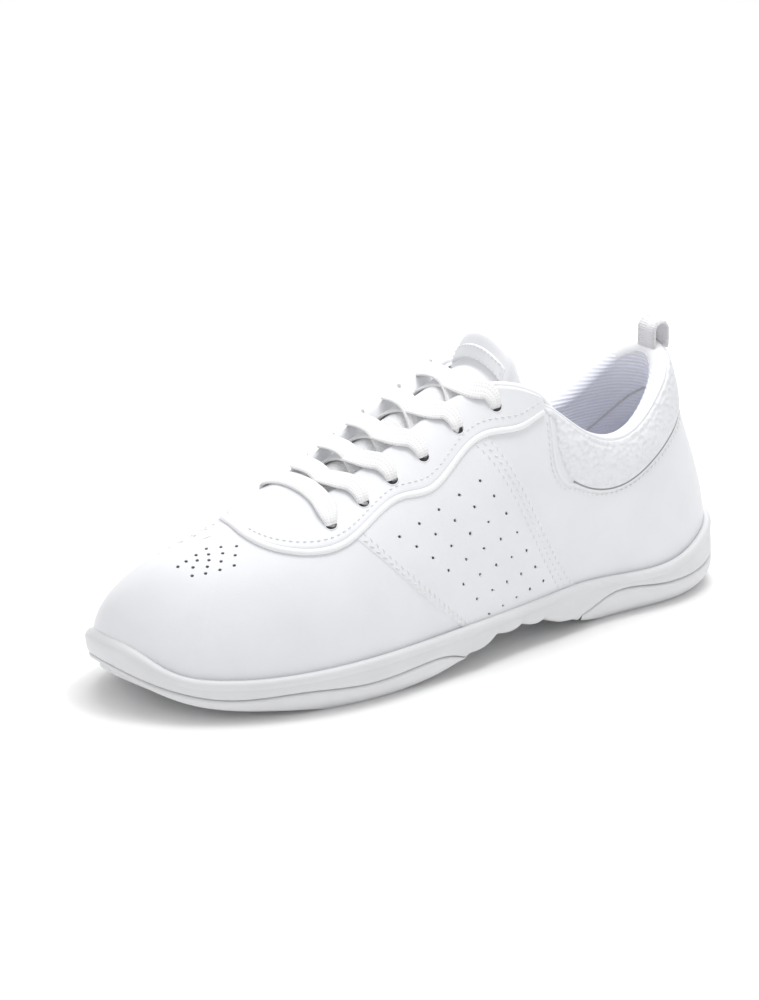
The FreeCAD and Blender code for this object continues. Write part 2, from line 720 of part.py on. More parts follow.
def pull_loop():
    pivot, rim = loop_pivot()
    half = LOOP_GAP / 2 + WEBBING
    foot = math.sqrt((rim + 0.7) ** 2 - (LOOP_GAP / 2) ** 2)
    top = rim + LOOP_HEIGHT
    centre = place(pivot)

    def arch(r):
        low, high = V(-r, 0, foot), V(-r, 0, top - half)
        legs = [Part.makeLine(centre + low, centre + high),
                Part.makeLine(centre + V(r, 0, top - half), centre + V(r, 0, foot))]
        bow = Part.Arc(centre + high, centre + V(0, 0, top - half + r), centre + V(r, 0, top - half))
        return legs[0], bow.toShape(), legs[1]

    outer, inner = arch(half), arch(half - WEBBING)
    close = [Part.makeLine(outer[0].Vertexes[0].Point, inner[0].Vertexes[0].Point),
             Part.makeLine(outer[2].Vertexes[1].Point, inner[2].Vertexes[1].Point)]
    face = Part.Face(Part.Wire(Part.__sortEdges__(list(outer) + list(inner) + close)))
    shape = face.extrude(V(0, LOOP_WIDTH, 0))
    shape.translate(V(0, -LOOP_WIDTH / 2, 0))
    print("pull loop pivot", place(pivot), "rim radius", rim)
    save(shape, "pull_loop")


if __name__ == "__main__":
    sole()
    footbed()
    outer_panels()
    eyestay()
    collar()
    front_lining()
    tongue()
    lace()
    pull_loop()
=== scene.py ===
"""Looks of the left cheer shoe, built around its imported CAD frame. Work in millimetres, placed in metres."""
import bpy
import bmesh
import json
import math
import numpy as np
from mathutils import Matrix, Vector


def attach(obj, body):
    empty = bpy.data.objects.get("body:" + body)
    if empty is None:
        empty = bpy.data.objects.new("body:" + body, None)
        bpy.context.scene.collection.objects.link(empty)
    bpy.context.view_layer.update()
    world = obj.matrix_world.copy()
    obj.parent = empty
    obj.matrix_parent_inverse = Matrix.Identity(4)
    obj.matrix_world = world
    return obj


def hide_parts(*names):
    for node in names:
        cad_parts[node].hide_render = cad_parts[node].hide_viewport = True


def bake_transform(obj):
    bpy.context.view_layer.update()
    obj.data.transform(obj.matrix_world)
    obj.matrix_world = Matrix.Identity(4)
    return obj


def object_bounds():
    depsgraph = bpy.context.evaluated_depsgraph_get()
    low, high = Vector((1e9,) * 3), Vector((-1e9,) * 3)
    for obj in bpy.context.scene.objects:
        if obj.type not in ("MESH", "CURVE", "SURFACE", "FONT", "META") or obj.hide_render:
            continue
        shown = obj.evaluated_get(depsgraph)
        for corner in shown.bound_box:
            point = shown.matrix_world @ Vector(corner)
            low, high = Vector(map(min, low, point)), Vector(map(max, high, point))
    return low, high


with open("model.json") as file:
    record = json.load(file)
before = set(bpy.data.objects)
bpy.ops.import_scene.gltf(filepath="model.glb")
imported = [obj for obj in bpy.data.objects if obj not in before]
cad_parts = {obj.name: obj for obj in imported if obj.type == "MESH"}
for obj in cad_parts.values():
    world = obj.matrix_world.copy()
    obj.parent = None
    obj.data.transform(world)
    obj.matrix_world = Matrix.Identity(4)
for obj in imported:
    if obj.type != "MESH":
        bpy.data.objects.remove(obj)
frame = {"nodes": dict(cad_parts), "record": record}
CAD_BOX = [list(corner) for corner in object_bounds()]
JOINTS = {j["name"]: j for j in frame["record"]["behaviour"]["joints"]}
X0 = -CAD_BOX[0][0] * 1000          # stations below count from the heel, the frame from mid-length

# ------------------------------------------------------------------ the shoe's form, as in its CAD source
UPPER_INSET, TUCK, LEATHER, LINING, GAP, PAD = 3.4, 4.0, 1.2, 0.7, 0.15, 5.0
FLOOR_DROP, BOARD, INSOLE = 4.6, 1.5, 3.6
LATERAL = [
    (0, -1, 27, 1, 20, 1, 24), (7.5, 19, 24.4, 1, 20, 1.5, 22), (28, 30.5, 18, 2, 20, 2.5, 20),
    (58, 31.5, 17, 3, 20, 3, 16), (80, 32.5, 18, 4.5, 22, 4, 18), (100, 34.5, 16.5, 6, 25, 7, 22),
    (125, 38.5, 16, 6, 26, 15, 13), (152, 43.5, 17.5, 5, 24, 17, 10), (185, 46.5, 17.5, 4, 22, 18, 7.5),
    (218, 40.5, 15.8, 3, 19, 20, 5), (246.5, 24.5, 15.5, 2, 18, 22, 4.5), (261.5, 4.5, 20, 1, 16, 23, 4.5),
    (266.5, -14, 27, 0.5, 13, 23, 4)]
MEDIAL = [
    (0, -1, 27, 1, 20, 1, 24), (7, -19, 24.4, 1, 20, 1.5, 22), (26, -30, 19, 2, 20, 2.5, 20),
    (55, -31, 19, 3, 20, 3, 16), (77, -29, 20, 5, 22, 4, 18), (97, -27, 20, 6.5, 25, 6, 22),
    (125, -28, 20, 6.5, 26, 12, 14), (150, -33.5, 19.5, 5.5, 24, 13.5, 11), (180, -43, 18, 4.5, 22, 15, 8),
    (208, -46.5, 17, 4, 19, 17, 4.5), (236, -43, 17, 3, 17, 18, 2), (259, -31.5, 20, 2, 15, 21, 3.5),
    (266.5, -14, 27, 0.5, 13, 23, 4)]
TOP = [
    (20.5, -1, 0, 95.5), (25.5, -1, 13, 92), (37, -0.8, 21.3, 82.5), (58, -0.3, 26.3, 70.5),
    (78, 0, 27, 77), (97, -0.2, 24.8, 92.5), (120, -0.7, 13.8, 96), (146, -1.2, 12.8, 85.5),
    (172, -1.8, 12.6, 72.5), (197, -3.8, 9.8, 61.5), (212, -7, 0, 57.5), (219, -7.5, 0, 55.5),
    (224, -8, 0, 54.5)]
LIP = [(-8, 27.5), (4, 26.5), (16, 23.5), (35, 18), (58, 17.2), (80, 18.6), (105, 17.8), (150, 18),
       (185, 17.6), (215, 16.2), (243, 15.8), (256, 19), (264, 25), (275, 29)]
TREAD = [(-8, 4.5), (5, 2.2), (20, -0.3), (45, -0.5), (66, -0.3), (80, 3.0), (95, 8.5), (112, 11.0),
         (128, 10.5), (145, 5.5), (163, 1.0), (180, -0.4), (200, -0.2), (225, 2.6), (250, 6.5),
         (262, 11.5), (275, 17.5)]
GROOVE_HEEL = [(-8, 16.0), (5, 13.0), (20, 10.6), (45, 10.2), (68, 10.8), (78, 7.0), (90, 3.0)]
GROOVE_FRONT = [(138, 4.0), (148, 8.4), (165, 9.8), (190, 8.4), (215, 9.4), (243, 8.8),
                (258, 12.5), (275, 19.0)]
SOLE_WALL = [(-1.0, 6.5), (4.0, 1.6), (11.0, 0.0), (20.0, 0.5), (32.0, 2.0)]
NOTCHES = (86.0, 101.0, 112.6, 126.0, 140.0)
ROLL, COLLAR_END, TIP, STAY_FRONT = 0.94, 0.362, 0.375, 0.840
BRIDGE = 0.708                      # the eyestay's arms are joined in front of this
STAY_LOW = [(0.371, 0.94), (0.412, 0.80), (0.467, 0.763), (0.496, 0.745), (0.530, 0.695), (0.560, 0.675),
            (0.604, 0.722), (0.628, 0.722), (0.660, 0.685), (0.690, 0.652), (0.720, 0.665),
            (0.756, 0.725), (0.795, 0.815), (0.846, 0.995)]
COLLAR_LOW = [(0.0, 0.71), (0.12, 0.705), (0.20, 0.685), (0.26, 0.635), (0.32, 0.62), (0.365, 0.665)]
EYELET_U = (0.704, 0.656, 0.607, 0.554, 0.500, 0.442)
EYELET_V = (0.785, 0.805, 0.825, 0.828, 0.840, 0.882)
VENTS = ((0.834, 0.821), (0.834, 0.758), (0.833, 0.692), (0.867, 0.831), (0.857, 0.779), (0.856, 0.724),
         (0.854, 0.669), (0.913, 0.847), (0.894, 0.792), (0.885, 0.746), (0.882, 0.700), (0.880, 0.656),
         (0.931, 0.804), (0.916, 0.756), (0.915, 0.704), (0.906, 0.645), (0.943, 0.755), (0.950, 0.709))


def slopes(t, y, level_ends):
    n = len(t)
    h = [t[i + 1] - t[i] for i in range(n - 1)]
    a = np.eye(n)
    r = np.zeros(n)
    for i in range(1, n - 1):
        a[i, i - 1], a[i, i + 1] = 1 / h[i - 1], 1 / h[i]
        a[i, i] = 2 * (1 / h[i - 1] + 1 / h[i])
        r[i] = 3 * ((y[i] - y[i - 1]) / h[i - 1] ** 2 + (y[i + 1] - y[i]) / h[i] ** 2)
    if not level_ends:
        a[0, 0], a[0, 1], r[0] = 2 / h[0], 1 / h[0], 3 * (y[1] - y[0]) / h[0] ** 2
        a[-1, -1], a[-1, -2], r[-1] = 2 / h[-1], 1 / h[-1], 3 * (y[-1] - y[-2]) / h[-1] ** 2
    return np.linalg.solve(a, r)


class Curve:
    """A smooth function through a few (position, value) pairs."""

    def __init__(self, t, y, level_ends=False):
        self.t, self.y = np.array(t, float), np.array(y, float)
        self.m = slopes(t, y, level_ends)

    def parts(self, at):
        at = np.asarray(at, float)
        i = np.clip(np.searchsorted(self.t, at, side="left") - 1, 0, len(self.t) - 2)
        h = self.t[i + 1] - self.t[i]
        return i, h, (at - self.t[i]) / h

    def __call__(self, at):
        i, h, s = self.parts(at)
        a = (1 + 2 * s) * (1 - s) ** 2 * self.y[i] + s * (1 - s) ** 2 * h * self.m[i]
        return a + s * s * (3 - 2 * s) * self.y[i + 1] + s * s * (s - 1) * h * self.m[i + 1]

    def slope(self, at):
        i, h, s = self.parts(at)
        rise = 6 * s * (1 - s) * (self.y[i + 1] - self.y[i]) / h
        return rise + (1 - s) * (1 - 3 * s) * self.m[i] + s * (3 * s - 2) * self.m[i + 1]


def along(pairs):
    return Curve([p[0] for p in pairs], [p[1] for p in pairs])


def chord_share(rows):
    run = np.cumsum([0.0] + [math.hypot(b[0] - a[0], b[1] - a[1]) for a, b in zip(rows, rows[1:])])
    return run / run[-1]


STATIONS = list((chord_share(LATERAL) + chord_share(MEDIAL)) / 2)
TOP_X, TOP_MIDDLE, TOP_GAP, TOP_Z = [Curve(STATIONS, [r[k] for r in TOP], k != 2) for k in range(4)]
COLUMNS = {s: [Curve(STATIONS, [r[k] for r in rows], k != 1) for k in range(7)]
           for s, rows in ((1, LATERAL), (-1, MEDIAL))}
lip_z, tread_z, wall_inset = along(LIP), along(TREAD), along(SOLE_WALL)
heel_groove, front_groove = along(GROOVE_HEEL), along(GROOVE_FRONT)
stay_low_curve, collar_low_curve = along(STAY_LOW), along(COLLAR_LOW)


def fold(w):
    w = np.asarray(w, float)
    sign = np.where((w < 0) | (w > 1), -1.0, 1.0)
    return sign, np.where(w < 0, -w, np.where(w > 1, 2 - w, w))


def column(k, u, sign):
    return np.where(sign > 0, COLUMNS[1][k](u), COLUMNS[-1][k](u))


def outward(u, sign):
    tx = np.where(sign > 0, COLUMNS[1][0].slope(u), COLUMNS[-1][0].slope(u))
    ty = np.where(sign > 0, COLUMNS[1][1].slope(u), COLUMNS[-1][1].slope(u))
    n = np.hypot(tx, ty)
    return -ty / n * sign, tx / n * sign


def outline(w, inset):
    """Sole outline in the frame's x and y at w round the shoe, moved inward."""
    sign, u = fold(w)
    ox, oy = outward(u, sign)
    return column(0, u, sign) - inset * ox - X0, column(1, u, sign) - inset * oy


def skin_at(u, v, sign):
    lip, out0, up0, out1, down1 = [column(k, u, sign) for k in range(2, 7)]
    tx, tz = TOP_X(u), TOP_Z(u)
    ty = TOP_MIDDLE(u) + sign * np.maximum(TOP_GAP(u), 0)
    ox, oy = outward(u, sign)
    fx, fy = column(0, u, sign) - UPPER_INSET * ox, column(1, u, sign) - UPPER_INSET * oy
    knots = ((fx, fy, lip - TUCK), (fx + ox * out0, fy + oy * out0, lip + up0),
             (tx + ox * out1, ty + oy * out1, tz - down1), (tx, ty, tz))
    w = ((1 - v) ** 3, 3 * v * (1 - v) ** 2, 3 * v * v * (1 - v), v ** 3)
    p = np.stack([sum(w[k] * knots[k][i] for k in range(4)) for i in range(3)], -1)
    p[..., 0] -= X0
    return p


def skin(w, v):
    w, v = np.broadcast_arrays(np.asarray(w, float), np.asarray(v, float))
    sign, u = fold(w)
    return skin_at(u, v, sign)


def normal(w, v):
    w, v = np.broadcast_arrays(np.asarray(w, float), np.asarray(v, float))
    sign, u = fold(w)
    du = skin_at(np.minimum(u + 0.004, 1), v, sign) - skin_at(np.maximum(u - 0.004, 0), v, sign)
    dv = skin_at(u, np.minimum(v + 0.004, 1), sign) - skin_at(u, np.maximum(v - 0.004, 0), sign)
    n = np.cross(dv, du) * sign[..., None]
    return n / np.linalg.norm(n, axis=-1, keepdims=True)


def over(w, v, height):
    """Point at a height over the upper's skin, negative for under it."""
    return skin(w, v) + normal(w, v) * np.asarray(height, float)[..., None]


def front_seam(v):
    return 0.4985 + 0.385 * v - 0.175 * v * v


def rear_seam(v):
    return 0.310 + 0.203 * v


def stay_low(w):
    return np.minimum(stay_low_curve(fold(w)[1]), 0.995)


def collar_low(w):
    u = fold(w)[1]
    return collar_low_curve(u) + 0.13 * np.clip((u - 0.330) / 0.028, 0, 1) ** 2.4


def unit(a):
    return a / np.maximum(np.linalg.norm(a, axis=-1, keepdims=True), 1e-12)


# ------------------------------------------------------------------ materials
def material(name, color, rough, bump=(), tint=0.02, rough_spread=0.06, sheen=0.0, subsurface=0.0, coat=0.0):
    """Procedural surface. bump holds (kind, size, depth) layers in millimetres: "weave" follows the
    piece's own UV map, the other kinds lie in object space."""
    m = bpy.data.materials.new(name)
    m.use_nodes = True
    t = m.node_tree
    shader = t.nodes["Principled BSDF"]
    place = t.nodes.new("ShaderNodeTexCoord")
    cloud = t.nodes.new("ShaderNodeTexNoise")
    cloud.inputs["Scale"].default_value = 55.0
    cloud.inputs["Detail"].default_value = 5.0
    t.links.new(place.outputs["Object"], cloud.inputs["Vector"])
    ramp = t.nodes.new("ShaderNodeValToRGB")
    ramp.color_ramp.elements[0].position = 0.3
    ramp.color_ramp.elements[1].position = 0.7
    ramp.color_ramp.elements[0].color = [c * (1 - tint) for c in color] + [1]
    ramp.color_ramp.elements[1].color = [min(c * (1 + tint), 1) for c in color] + [1]
    t.links.new(cloud.outputs["Fac"], ramp.inputs["Fac"])
    t.links.new(ramp.outputs["Color"], shader.inputs["Base Color"])
    spread = t.nodes.new("ShaderNodeMapRange")
    spread.inputs["To Min"].default_value = rough - rough_spread
    spread.inputs["To Max"].default_value = rough + rough_spread
    t.links.new(cloud.outputs["Fac"], spread.inputs["Value"])
    t.links.new(spread.outputs["Result"], shader.inputs["Roughness"])
    shader.inputs["Sheen Weight"].default_value = sheen
    shader.inputs["Subsurface Weight"].default_value = subsurface
    shader.inputs["Subsurface Radius"].default_value = (0.002, 0.002, 0.002)
    shader.inputs["Coat Weight"].default_value = coat
    shader.inputs["Coat Roughness"].default_value = 0.3
    last = None
    for kind, size, depth in bump:
        if kind == "weave":
            mix = t.nodes.new("ShaderNodeMath")
            mix.operation = "MULTIPLY"
            for k, direction in enumerate("XY"):
                wave = t.nodes.new("ShaderNodeTexWave")
                wave.bands_direction = direction
                wave.inputs["Scale"].default_value = 0.314 / size
                t.links.new(place.outputs["UV"], wave.inputs["Vector"])
                t.links.new(wave.outputs["Fac"], mix.inputs[k])
            height = mix.outputs[0]
        elif kind == "pebble":
            cells = t.nodes.new("ShaderNodeTexVoronoi")
            cells.feature = "SMOOTH_F1"
            cells.inputs["Scale"].default_value = 1000.0 / size
            cells.inputs["Smoothness"].default_value = 0.5
            t.links.new(place.outputs["Object"], cells.inputs["Vector"])
            height = cells.outputs["Distance"]
        elif kind == "mesh":
            cells = t.nodes.new("ShaderNodeTexVoronoi")
            cells.feature = "DISTANCE_TO_EDGE"
            cells.inputs["Scale"].default_value = 1000.0 / size
            cells.inputs["Randomness"].default_value = 0.15
            t.links.new(place.outputs["Object"], cells.inputs["Vector"])
            height = cells.outputs["Distance"]
        else:
            grain = t.nodes.new("ShaderNodeTexNoise")
            grain.inputs["Scale"].default_value = 1000.0 / size
            grain.inputs["Detail"].default_value = 4.0
            t.links.new(place.outputs["Object"], grain.inputs["Vector"])
            height = grain.outputs["Fac"]
        b = t.nodes.new("ShaderNodeBump")
        b.inputs["Strength"].default_value = 1.0
        b.inputs["Distance"].default_value = depth * 0.001
        t.links.new(height, b.inputs["Height"])
        if last is not None:
            t.links.new(last, b.inputs["Normal"])
        last = b.outputs["Normal"]
    if last is not None:
        t.links.new(last, shader.inputs["Normal"])
    return m


WHITE = (0.79, 0.80, 0.825)
leather = material("smooth_leather", WHITE, 0.42, [("grain", 0.9, 0.02), ("pebble", 0.7, 0.012)], coat=0.10)
rim_leather = material("rolled_leather", (0.88, 0.885, 0.90), 0.36, [("grain", 1.2, 0.015)], coat=0.15)
pebbled = material("pebbled_leather", WHITE, 0.5, [("pebble", 2.3, 0.8), ("grain", 0.6, 0.03)])
foam_mat = material("moulded_foam", (0.72, 0.725, 0.74), 0.5, [("grain", 0.5, 0.018)], subsurface=0.05)
rubber = material("outsole_rubber", (0.74, 0.745, 0.76), 0.55, [("grain", 0.35, 0.03)])
knit = material("ribbed_knit", (0.90, 0.91, 1.0), 0.8, [("grain", 0.25, 0.08)], sheen=0.3)
mesh_mat = material("tongue_mesh", (0.86, 0.865, 0.875), 0.75, [("mesh", 1.5, 0.45)], sheen=0.2)
lace_mat = material("woven_lace", (0.87, 0.87, 0.88), 0.85, [("weave", 0.9, 0.16), ("grain", 0.3, 0.03)],
                    sheen=0.4)
tape_mat = material("woven_tape", (0.80, 0.80, 0.82), 0.8, [("weave", 0.8, 0.2), ("grain", 0.3, 0.05)],
                    sheen=0.3)
thread_mat = material("stitch_thread", (0.80, 0.80, 0.81), 0.6, [("grain", 0.2, 0.04)], sheen=0.2)
# Mid-grey painted shadow, for the thin dark line drawn under the collar panel's lower edge.
seam_shadow_mat = material("painted_collar_shadow", (0.34, 0.34, 0.35), 0.8, [("grain", 0.3, 0.03)])
# Near-black painted shade, for the discs set a little way down in eyelets, vent holes and perforations.
painted_shade_mat = material("painted_hole_shade", (0.07, 0.07, 0.075), 0.8, [("grain", 0.4, 0.02)])
board_mat = material("fibre_board", (0.60, 0.55, 0.47), 0.85, [("grain", 0.5, 0.1)])
stiff_mat = material("moulded_stiffener", (0.62, 0.62, 0.62), 0.6, [("grain", 0.7, 0.05)])
pad_mat = material("pad_foam", (0.80, 0.78, 0.70), 0.9, [("pebble", 0.8, 0.2)])
film_mat = material("aglet_film", (0.82, 0.82, 0.84), 0.25, [("grain", 1.5, 0.02)], coat=0.5)


# ------------------------------------------------------------------ mesh tools
def finish_piece(ob, body, replaced=()):
    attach(ob, body)
    if replaced:
        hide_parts(*replaced)
    return ob


def make(name, verts, faces, mat, uv=None, sharp=50):
    """Mesh object from points in millimetres. uv gives one pair per point, in millimetres."""
    name = name + "_piece" if name in frame["nodes"] else name
    me = bpy.data.meshes.new(name)
    me.from_pydata((np.asarray(verts) * 0.001).tolist(), [], [list(map(int, f)) for f in faces])
    me.validate()
    if uv is not None:
        layer = me.uv_layers.new(name="UVMap")
        index = np.zeros(len(me.loops), int)
        me.loops.foreach_get("vertex_index", index)
        layer.data.foreach_set("uv", (np.asarray(uv)[index]).astype(np.float32).ravel())
    me.polygons.foreach_set("use_smooth", [True] * len(me.polygons))
    me.materials.append(mat)
    ob = bpy.data.objects.new(name, me)
    bpy.context.collection.objects.link(ob)
    me.set_sharp_from_angle(angle=math.radians(sharp))
    return ob


def grid_faces(nu, nv, close_u=False, close_v=False, start=0, flip=False):
    faces = []
    for i in range(nu if close_u else nu - 1):
        for j in range(nv if close_v else nv - 1):
            a, b = start + i * nv + j, start + ((i + 1) % nu) * nv + j
            c, d = start + ((i + 1) % nu) * nv + (j + 1) % nv, start + i * nv + (j + 1) % nv
            faces.append((a, d, c, b) if flip else (a, b, c, d))
    return faces


def solid_grid(name, top, bottom, mat, uv=None, sharp=50):
    """Closed solid between two grids of points."""
    nu, nv = top.shape[:2]
    n = nu * nv
    faces = grid_faces(nu, nv) + grid_faces(nu, nv, start=n, flip=True)
    rim = [i * nv for i in range(nu)] + [(nu - 1) * nv + j for j in range(1, nv)]
    rim += [i * nv + nv - 1 for i in range(nu - 2, -1, -1)] + [j for j in range(nv - 2, 0, -1)]
    for a, b in zip(rim, rim[1:] + rim[:1]):
        faces.append((a, a + n, b + n, b))
    verts = np.concatenate([top.reshape(-1, 3), bottom.reshape(-1, 3)])
    if uv is not None:
        uv = np.concatenate([uv.reshape(-1, 2)] * 2)
    ob = make(name, verts, faces, mat, uv, sharp)
    outward_normals(ob)
    return ob


def outward_normals(ob):
    bm = bmesh.new()
    bm.from_mesh(ob.data)
    bmesh.ops.recalc_face_normals(bm, faces=bm.faces)
    bm.to_mesh(ob.data)
    bm.free()


def weld(ob, distance):
    bm = bmesh.new()
    bm.from_mesh(ob.data)
    bmesh.ops.remove_doubles(bm, verts=bm.verts, dist=distance * 0.001)
    bmesh.ops.recalc_face_normals(bm, faces=bm.faces)
    bm.to_mesh(ob.data)
    bm.free()
    ob.data.set_sharp_from_angle(angle=math.radians(60))


def merge(name, parts, mat, sharp=60):
    """One object from several (verts, faces) lists."""
    verts, faces, n = [], [], 0
    for v, f in parts:
        verts.append(np.asarray(v).reshape(-1, 3))
        faces += [tuple(k + n for k in q) for q in f]
        n += len(verts[-1])
    return make(name, np.concatenate(verts), faces, mat, sharp=sharp)


def edge_samples(n, length, radius):
    """0 to 1 with extra samples inside the rounded edge of a panel that is length long."""
    r = min(radius / max(length, 1e-6), 0.3)
    ring = np.array([0.0, 0.04, 0.14, 0.32, 0.6]) * r
    return np.concatenate([ring, np.linspace(r, 1 - r, n), 1 - ring[::-1]])


def rounded(distance, radius):
    """0 at an edge, rising like a quarter circle to 1 at radius from it."""
    q = np.clip(distance / radius, 0, 1)
    return np.sqrt(np.maximum(1 - (1 - q) ** 2, 0))


def punch(points, holes, radius, depth):
    """Press round holes into a grid of points; holes holds (centre, axis)."""
    flat = points.reshape(-1, 3)
    for centre, axis in holes:
        near = np.where(((flat - centre) ** 2).sum(1) < (2.5 * radius) ** 2)[0]
        rel = flat[near] - centre
        tang = rel - (rel @ axis)[:, None] * axis
        d = np.linalg.norm(tang, axis=1)
        lip = (d > radius * 0.72) & (d < radius * 1.38)
        inner = d <= radius * 0.72
        safe = np.maximum(d, 1e-6)[:, None]
        flat[near[lip]] += (tang / safe * (radius * 1.04 - d)[:, None])[lip]
        move = tang / safe * np.minimum(0.25 * radius, radius * 0.9 - d)[:, None] * (d > 1e-4)[:, None]
        flat[near[inner]] += move[inner] - axis * depth
    return flat.reshape(points.shape)


def plate(name, first, last, v0, v1, height, mat, step=0.9, thick=0.9, edge=1.3, holes=(), hole_r=0.7,
          hole_depth=0.9, soft_sides=(1, 1, 1, 1), bulge=None):
    """A panel of the upper with rounded edges. Arguments as for a CAD panel, height over the skin."""
    wf, wl = float(first(0.5)), float(last(0.5))
    ws = np.linspace(wf, wl, 60)
    length_w = np.linalg.norm(np.diff(skin(ws, 0.5), axis=0), axis=1).sum()
    wm = (wf + wl) / 2
    vs = np.linspace(float(v0(wm)), float(v1(wm)), 60)
    length_v = np.linalg.norm(np.diff(skin(wm, vs), axis=0), axis=1).sum()
    s = edge_samples(max(int(length_w / step), 8), length_w, edge)
    t = edge_samples(max(int(length_v / step), 8), length_v, edge)
    S, T = np.meshgrid(s, t, indexing="ij")
    W = first(T) + (last(T) - first(T)) * S
    V = v0(W) + (v1(W) - v0(W)) * T
    n = normal(W, V)
    fall = np.ones_like(S)
    for soft, d in zip(soft_sides, (S * length_w, (1 - S) * length_w, T * length_v, (1 - T) * length_v)):
        if soft:
            fall = np.minimum(fall, rounded(d, edge))
    h = -0.35 + (height + 0.35) * fall
    if bulge is not None:
        h = h + bulge(S, T)
    top = skin(W, V) + n * h[..., None]
    bottom = skin(W, V) + n * (np.minimum(h, height) - thick)[..., None]
    if len(holes):
        at = [(over(np.float64(w), np.float64(v), np.float64(height)), normal(np.float64(w), np.float64(v)))
              for w, v in holes]
        top = punch(top, at, hole_r, hole_depth)
    uv = np.stack([S * length_w, T * length_v], -1)
    return solid_grid(name, top, bottom, mat, uv)


def sweep(points, normals, section):
    """Verts and faces of a section (K, 2: across, up) carried along points with their up directions."""
    tangents = unit(np.gradient(points, axis=0))
    up = unit(normals - (normals * tangents).sum(1)[:, None] * tangents)
    across = np.cross(tangents, up)
    ring = section if section.ndim == 3 else np.broadcast_to(section, (len(points),) + section.shape)
    verts = points[:, None] + across[:, None] * ring[..., :1] + up[:, None] * ring[..., 1:]
    n, k = verts.shape[:2]
    faces = grid_faces(n, k, close_v=True) + [tuple(range(k)), tuple(range(n * k - 1, (n - 1) * k - 1, -1))]
    return verts.reshape(-1, 3), faces


def ellipse(width, height, k=12, square=2.0):
    a = np.linspace(0, 2 * math.pi, k, endpoint=False)
    c, s = np.cos(a), np.sin(a)
    p = 2.0 / square
    return np.stack([np.sign(c) * abs(c) ** p * width / 2, np.sign(s) * abs(s) ** p * height / 2], -1)


def resample(points, extra, step):
    """Points every step mm along a smooth curve through the given ones, with extra columns carried."""
    points = np.asarray(points, float)
    run = np.concatenate([[0], np.cumsum(np.linalg.norm(np.diff(points, axis=0), axis=1))])
    keep = np.concatenate([[True], np.diff(run) > 1e-6])
    run, data = run[keep], np.concatenate([points, extra], 1)[keep]
    at = np.linspace(0, run[-1], max(int(run[-1] / step), 4))
    out = np.stack([Curve(run, data[:, k])(at) for k in range(data.shape[1])], 1)
    return out[:, :3], out[:, 3:]


def stitches(name, path, normals, length=2.1, gap=0.9, size=0.55, lean=0.0, sink=0.1):
    """A row of separate thread stitches laid along a path."""
    step = 0.25
    p, n = resample(path, normals, step)
    n = unit(n)
    per = max(int((length + gap) / step), 3)
    take = max(int(length / step), 2)
    parts = []
    for start in range(0, len(p) - take, per):
        a, b = p[start], p[start + take]
        up = unit(n[start] + n[start + take])
        way = unit(b - a)
        side = np.cross(way, up)
        a, b = a - side * lean, b + side * lean
        q = np.linspace(0, 1, 6)
        arch = np.sin(q * math.pi) ** 0.6
        line = a + (b - a) * q[:, None] + up * (arch * size * 0.55 - sink)[:, None]
        ring = ellipse(size, size * 0.9, 6)[None] * (0.45 + 0.55 * arch)[:, None, None]
        parts.append(sweep(line, np.repeat(up[None], 6, 0), ring))
    return merge(name, parts, thread_mat)


def constant(value):
    return lambda at: np.asarray(at, float) * 0 + value


# ------------------------------------------------------------------ upper
NAMES = {1: "lateral", -1: "medial"}
EYELETS = {s: [(s * u, v) for u, v in zip(EYELET_U, EYELET_V)] for s in (1, -1)}


def perforations(sign):
    out = []
    for i in range(5):
        top, low = (0.487 + 0.0325 * i, 0.588 - 0.0095 * i), (0.379 + 0.024 * i, 0.138 - 0.016 * i)
        out += [(sign * (top[0] + (low[0] - top[0]) * k / 6), top[1] + (low[1] - top[1]) * k / 6)
                for k in range(7)]
    return out


def around(sign, u):
    """w for a place on one side, counted round the toe on the medial side."""
    return u if sign > 0 else 2 - u


def shade_discs(name, places, radius, depth):
    """Dark discs a little way under the surface that close small holes: painted shade in the holes."""
    a = np.linspace(0, 2 * math.pi, 13)[:-1, None]
    verts, faces = [], []
    for p, n in places:
        e1 = unit(np.cross(n, [0.3, 0, 1.0]))
        faces.append(tuple(range(len(verts), len(verts) + len(a))))
        verts += list(p - n * depth + (e1 * np.cos(a) + np.cross(n, e1) * np.sin(a)) * radius)
    finish_piece(make(name, np.array(verts), faces, painted_shade_mat), "shoe")


def build_vamp():
    """Both halves of the vamp as one skin, closed along its ridge, with its vent holes pressed in."""
    u_dense = np.concatenate([np.linspace(0.822, 0.962, 210), np.linspace(0.962, 1.0, 22)[1:]])
    t = np.concatenate([np.linspace(0, 0.62, 34), np.linspace(0.62, 0.87, 120)[1:],
                        np.linspace(0.87, 1, 26)[1:]])
    faces_all, verts_all = [], []
    start = 0
    for sign in (1, -1):
        s = np.linspace(0, 1, 60)
        U0, T0 = np.meshgrid(s, t, indexing="ij")
        seam = front_seam(T0) - 0.014
        back = seam + (0.822 - seam) * U0
        U = np.concatenate([back[:-1], np.repeat(u_dense[:, None], len(t), 1)])
        T = np.concatenate([T0[:-1], np.repeat(t[None], len(u_dense), 0)])
        p = skin_at(U, T, np.full_like(U, sign))
        holes = [(skin_at(np.float64(u), np.float64(v), np.float64(sign)), normal(np.float64(around(sign, u)), v))
                 for u, v in VENTS]
        p = punch(p.copy(), holes, 0.62, 1.1)
        # dark discs under the vent holes: painted shade in the holes
        shade_discs("vent_painted_shade_" + NAMES[sign], holes, 0.56, 0.35)
        nu, nv = U.shape
        faces_all += grid_faces(nu, nv, start=start, flip=sign < 0)
        verts_all.append(p.reshape(-1, 3))
        start += nu * nv
    ob = make("vamp", np.concatenate(verts_all), faces_all, leather)
    weld(ob, 0.03)
    return finish_piece(ob, "shoe", ["vamp"])


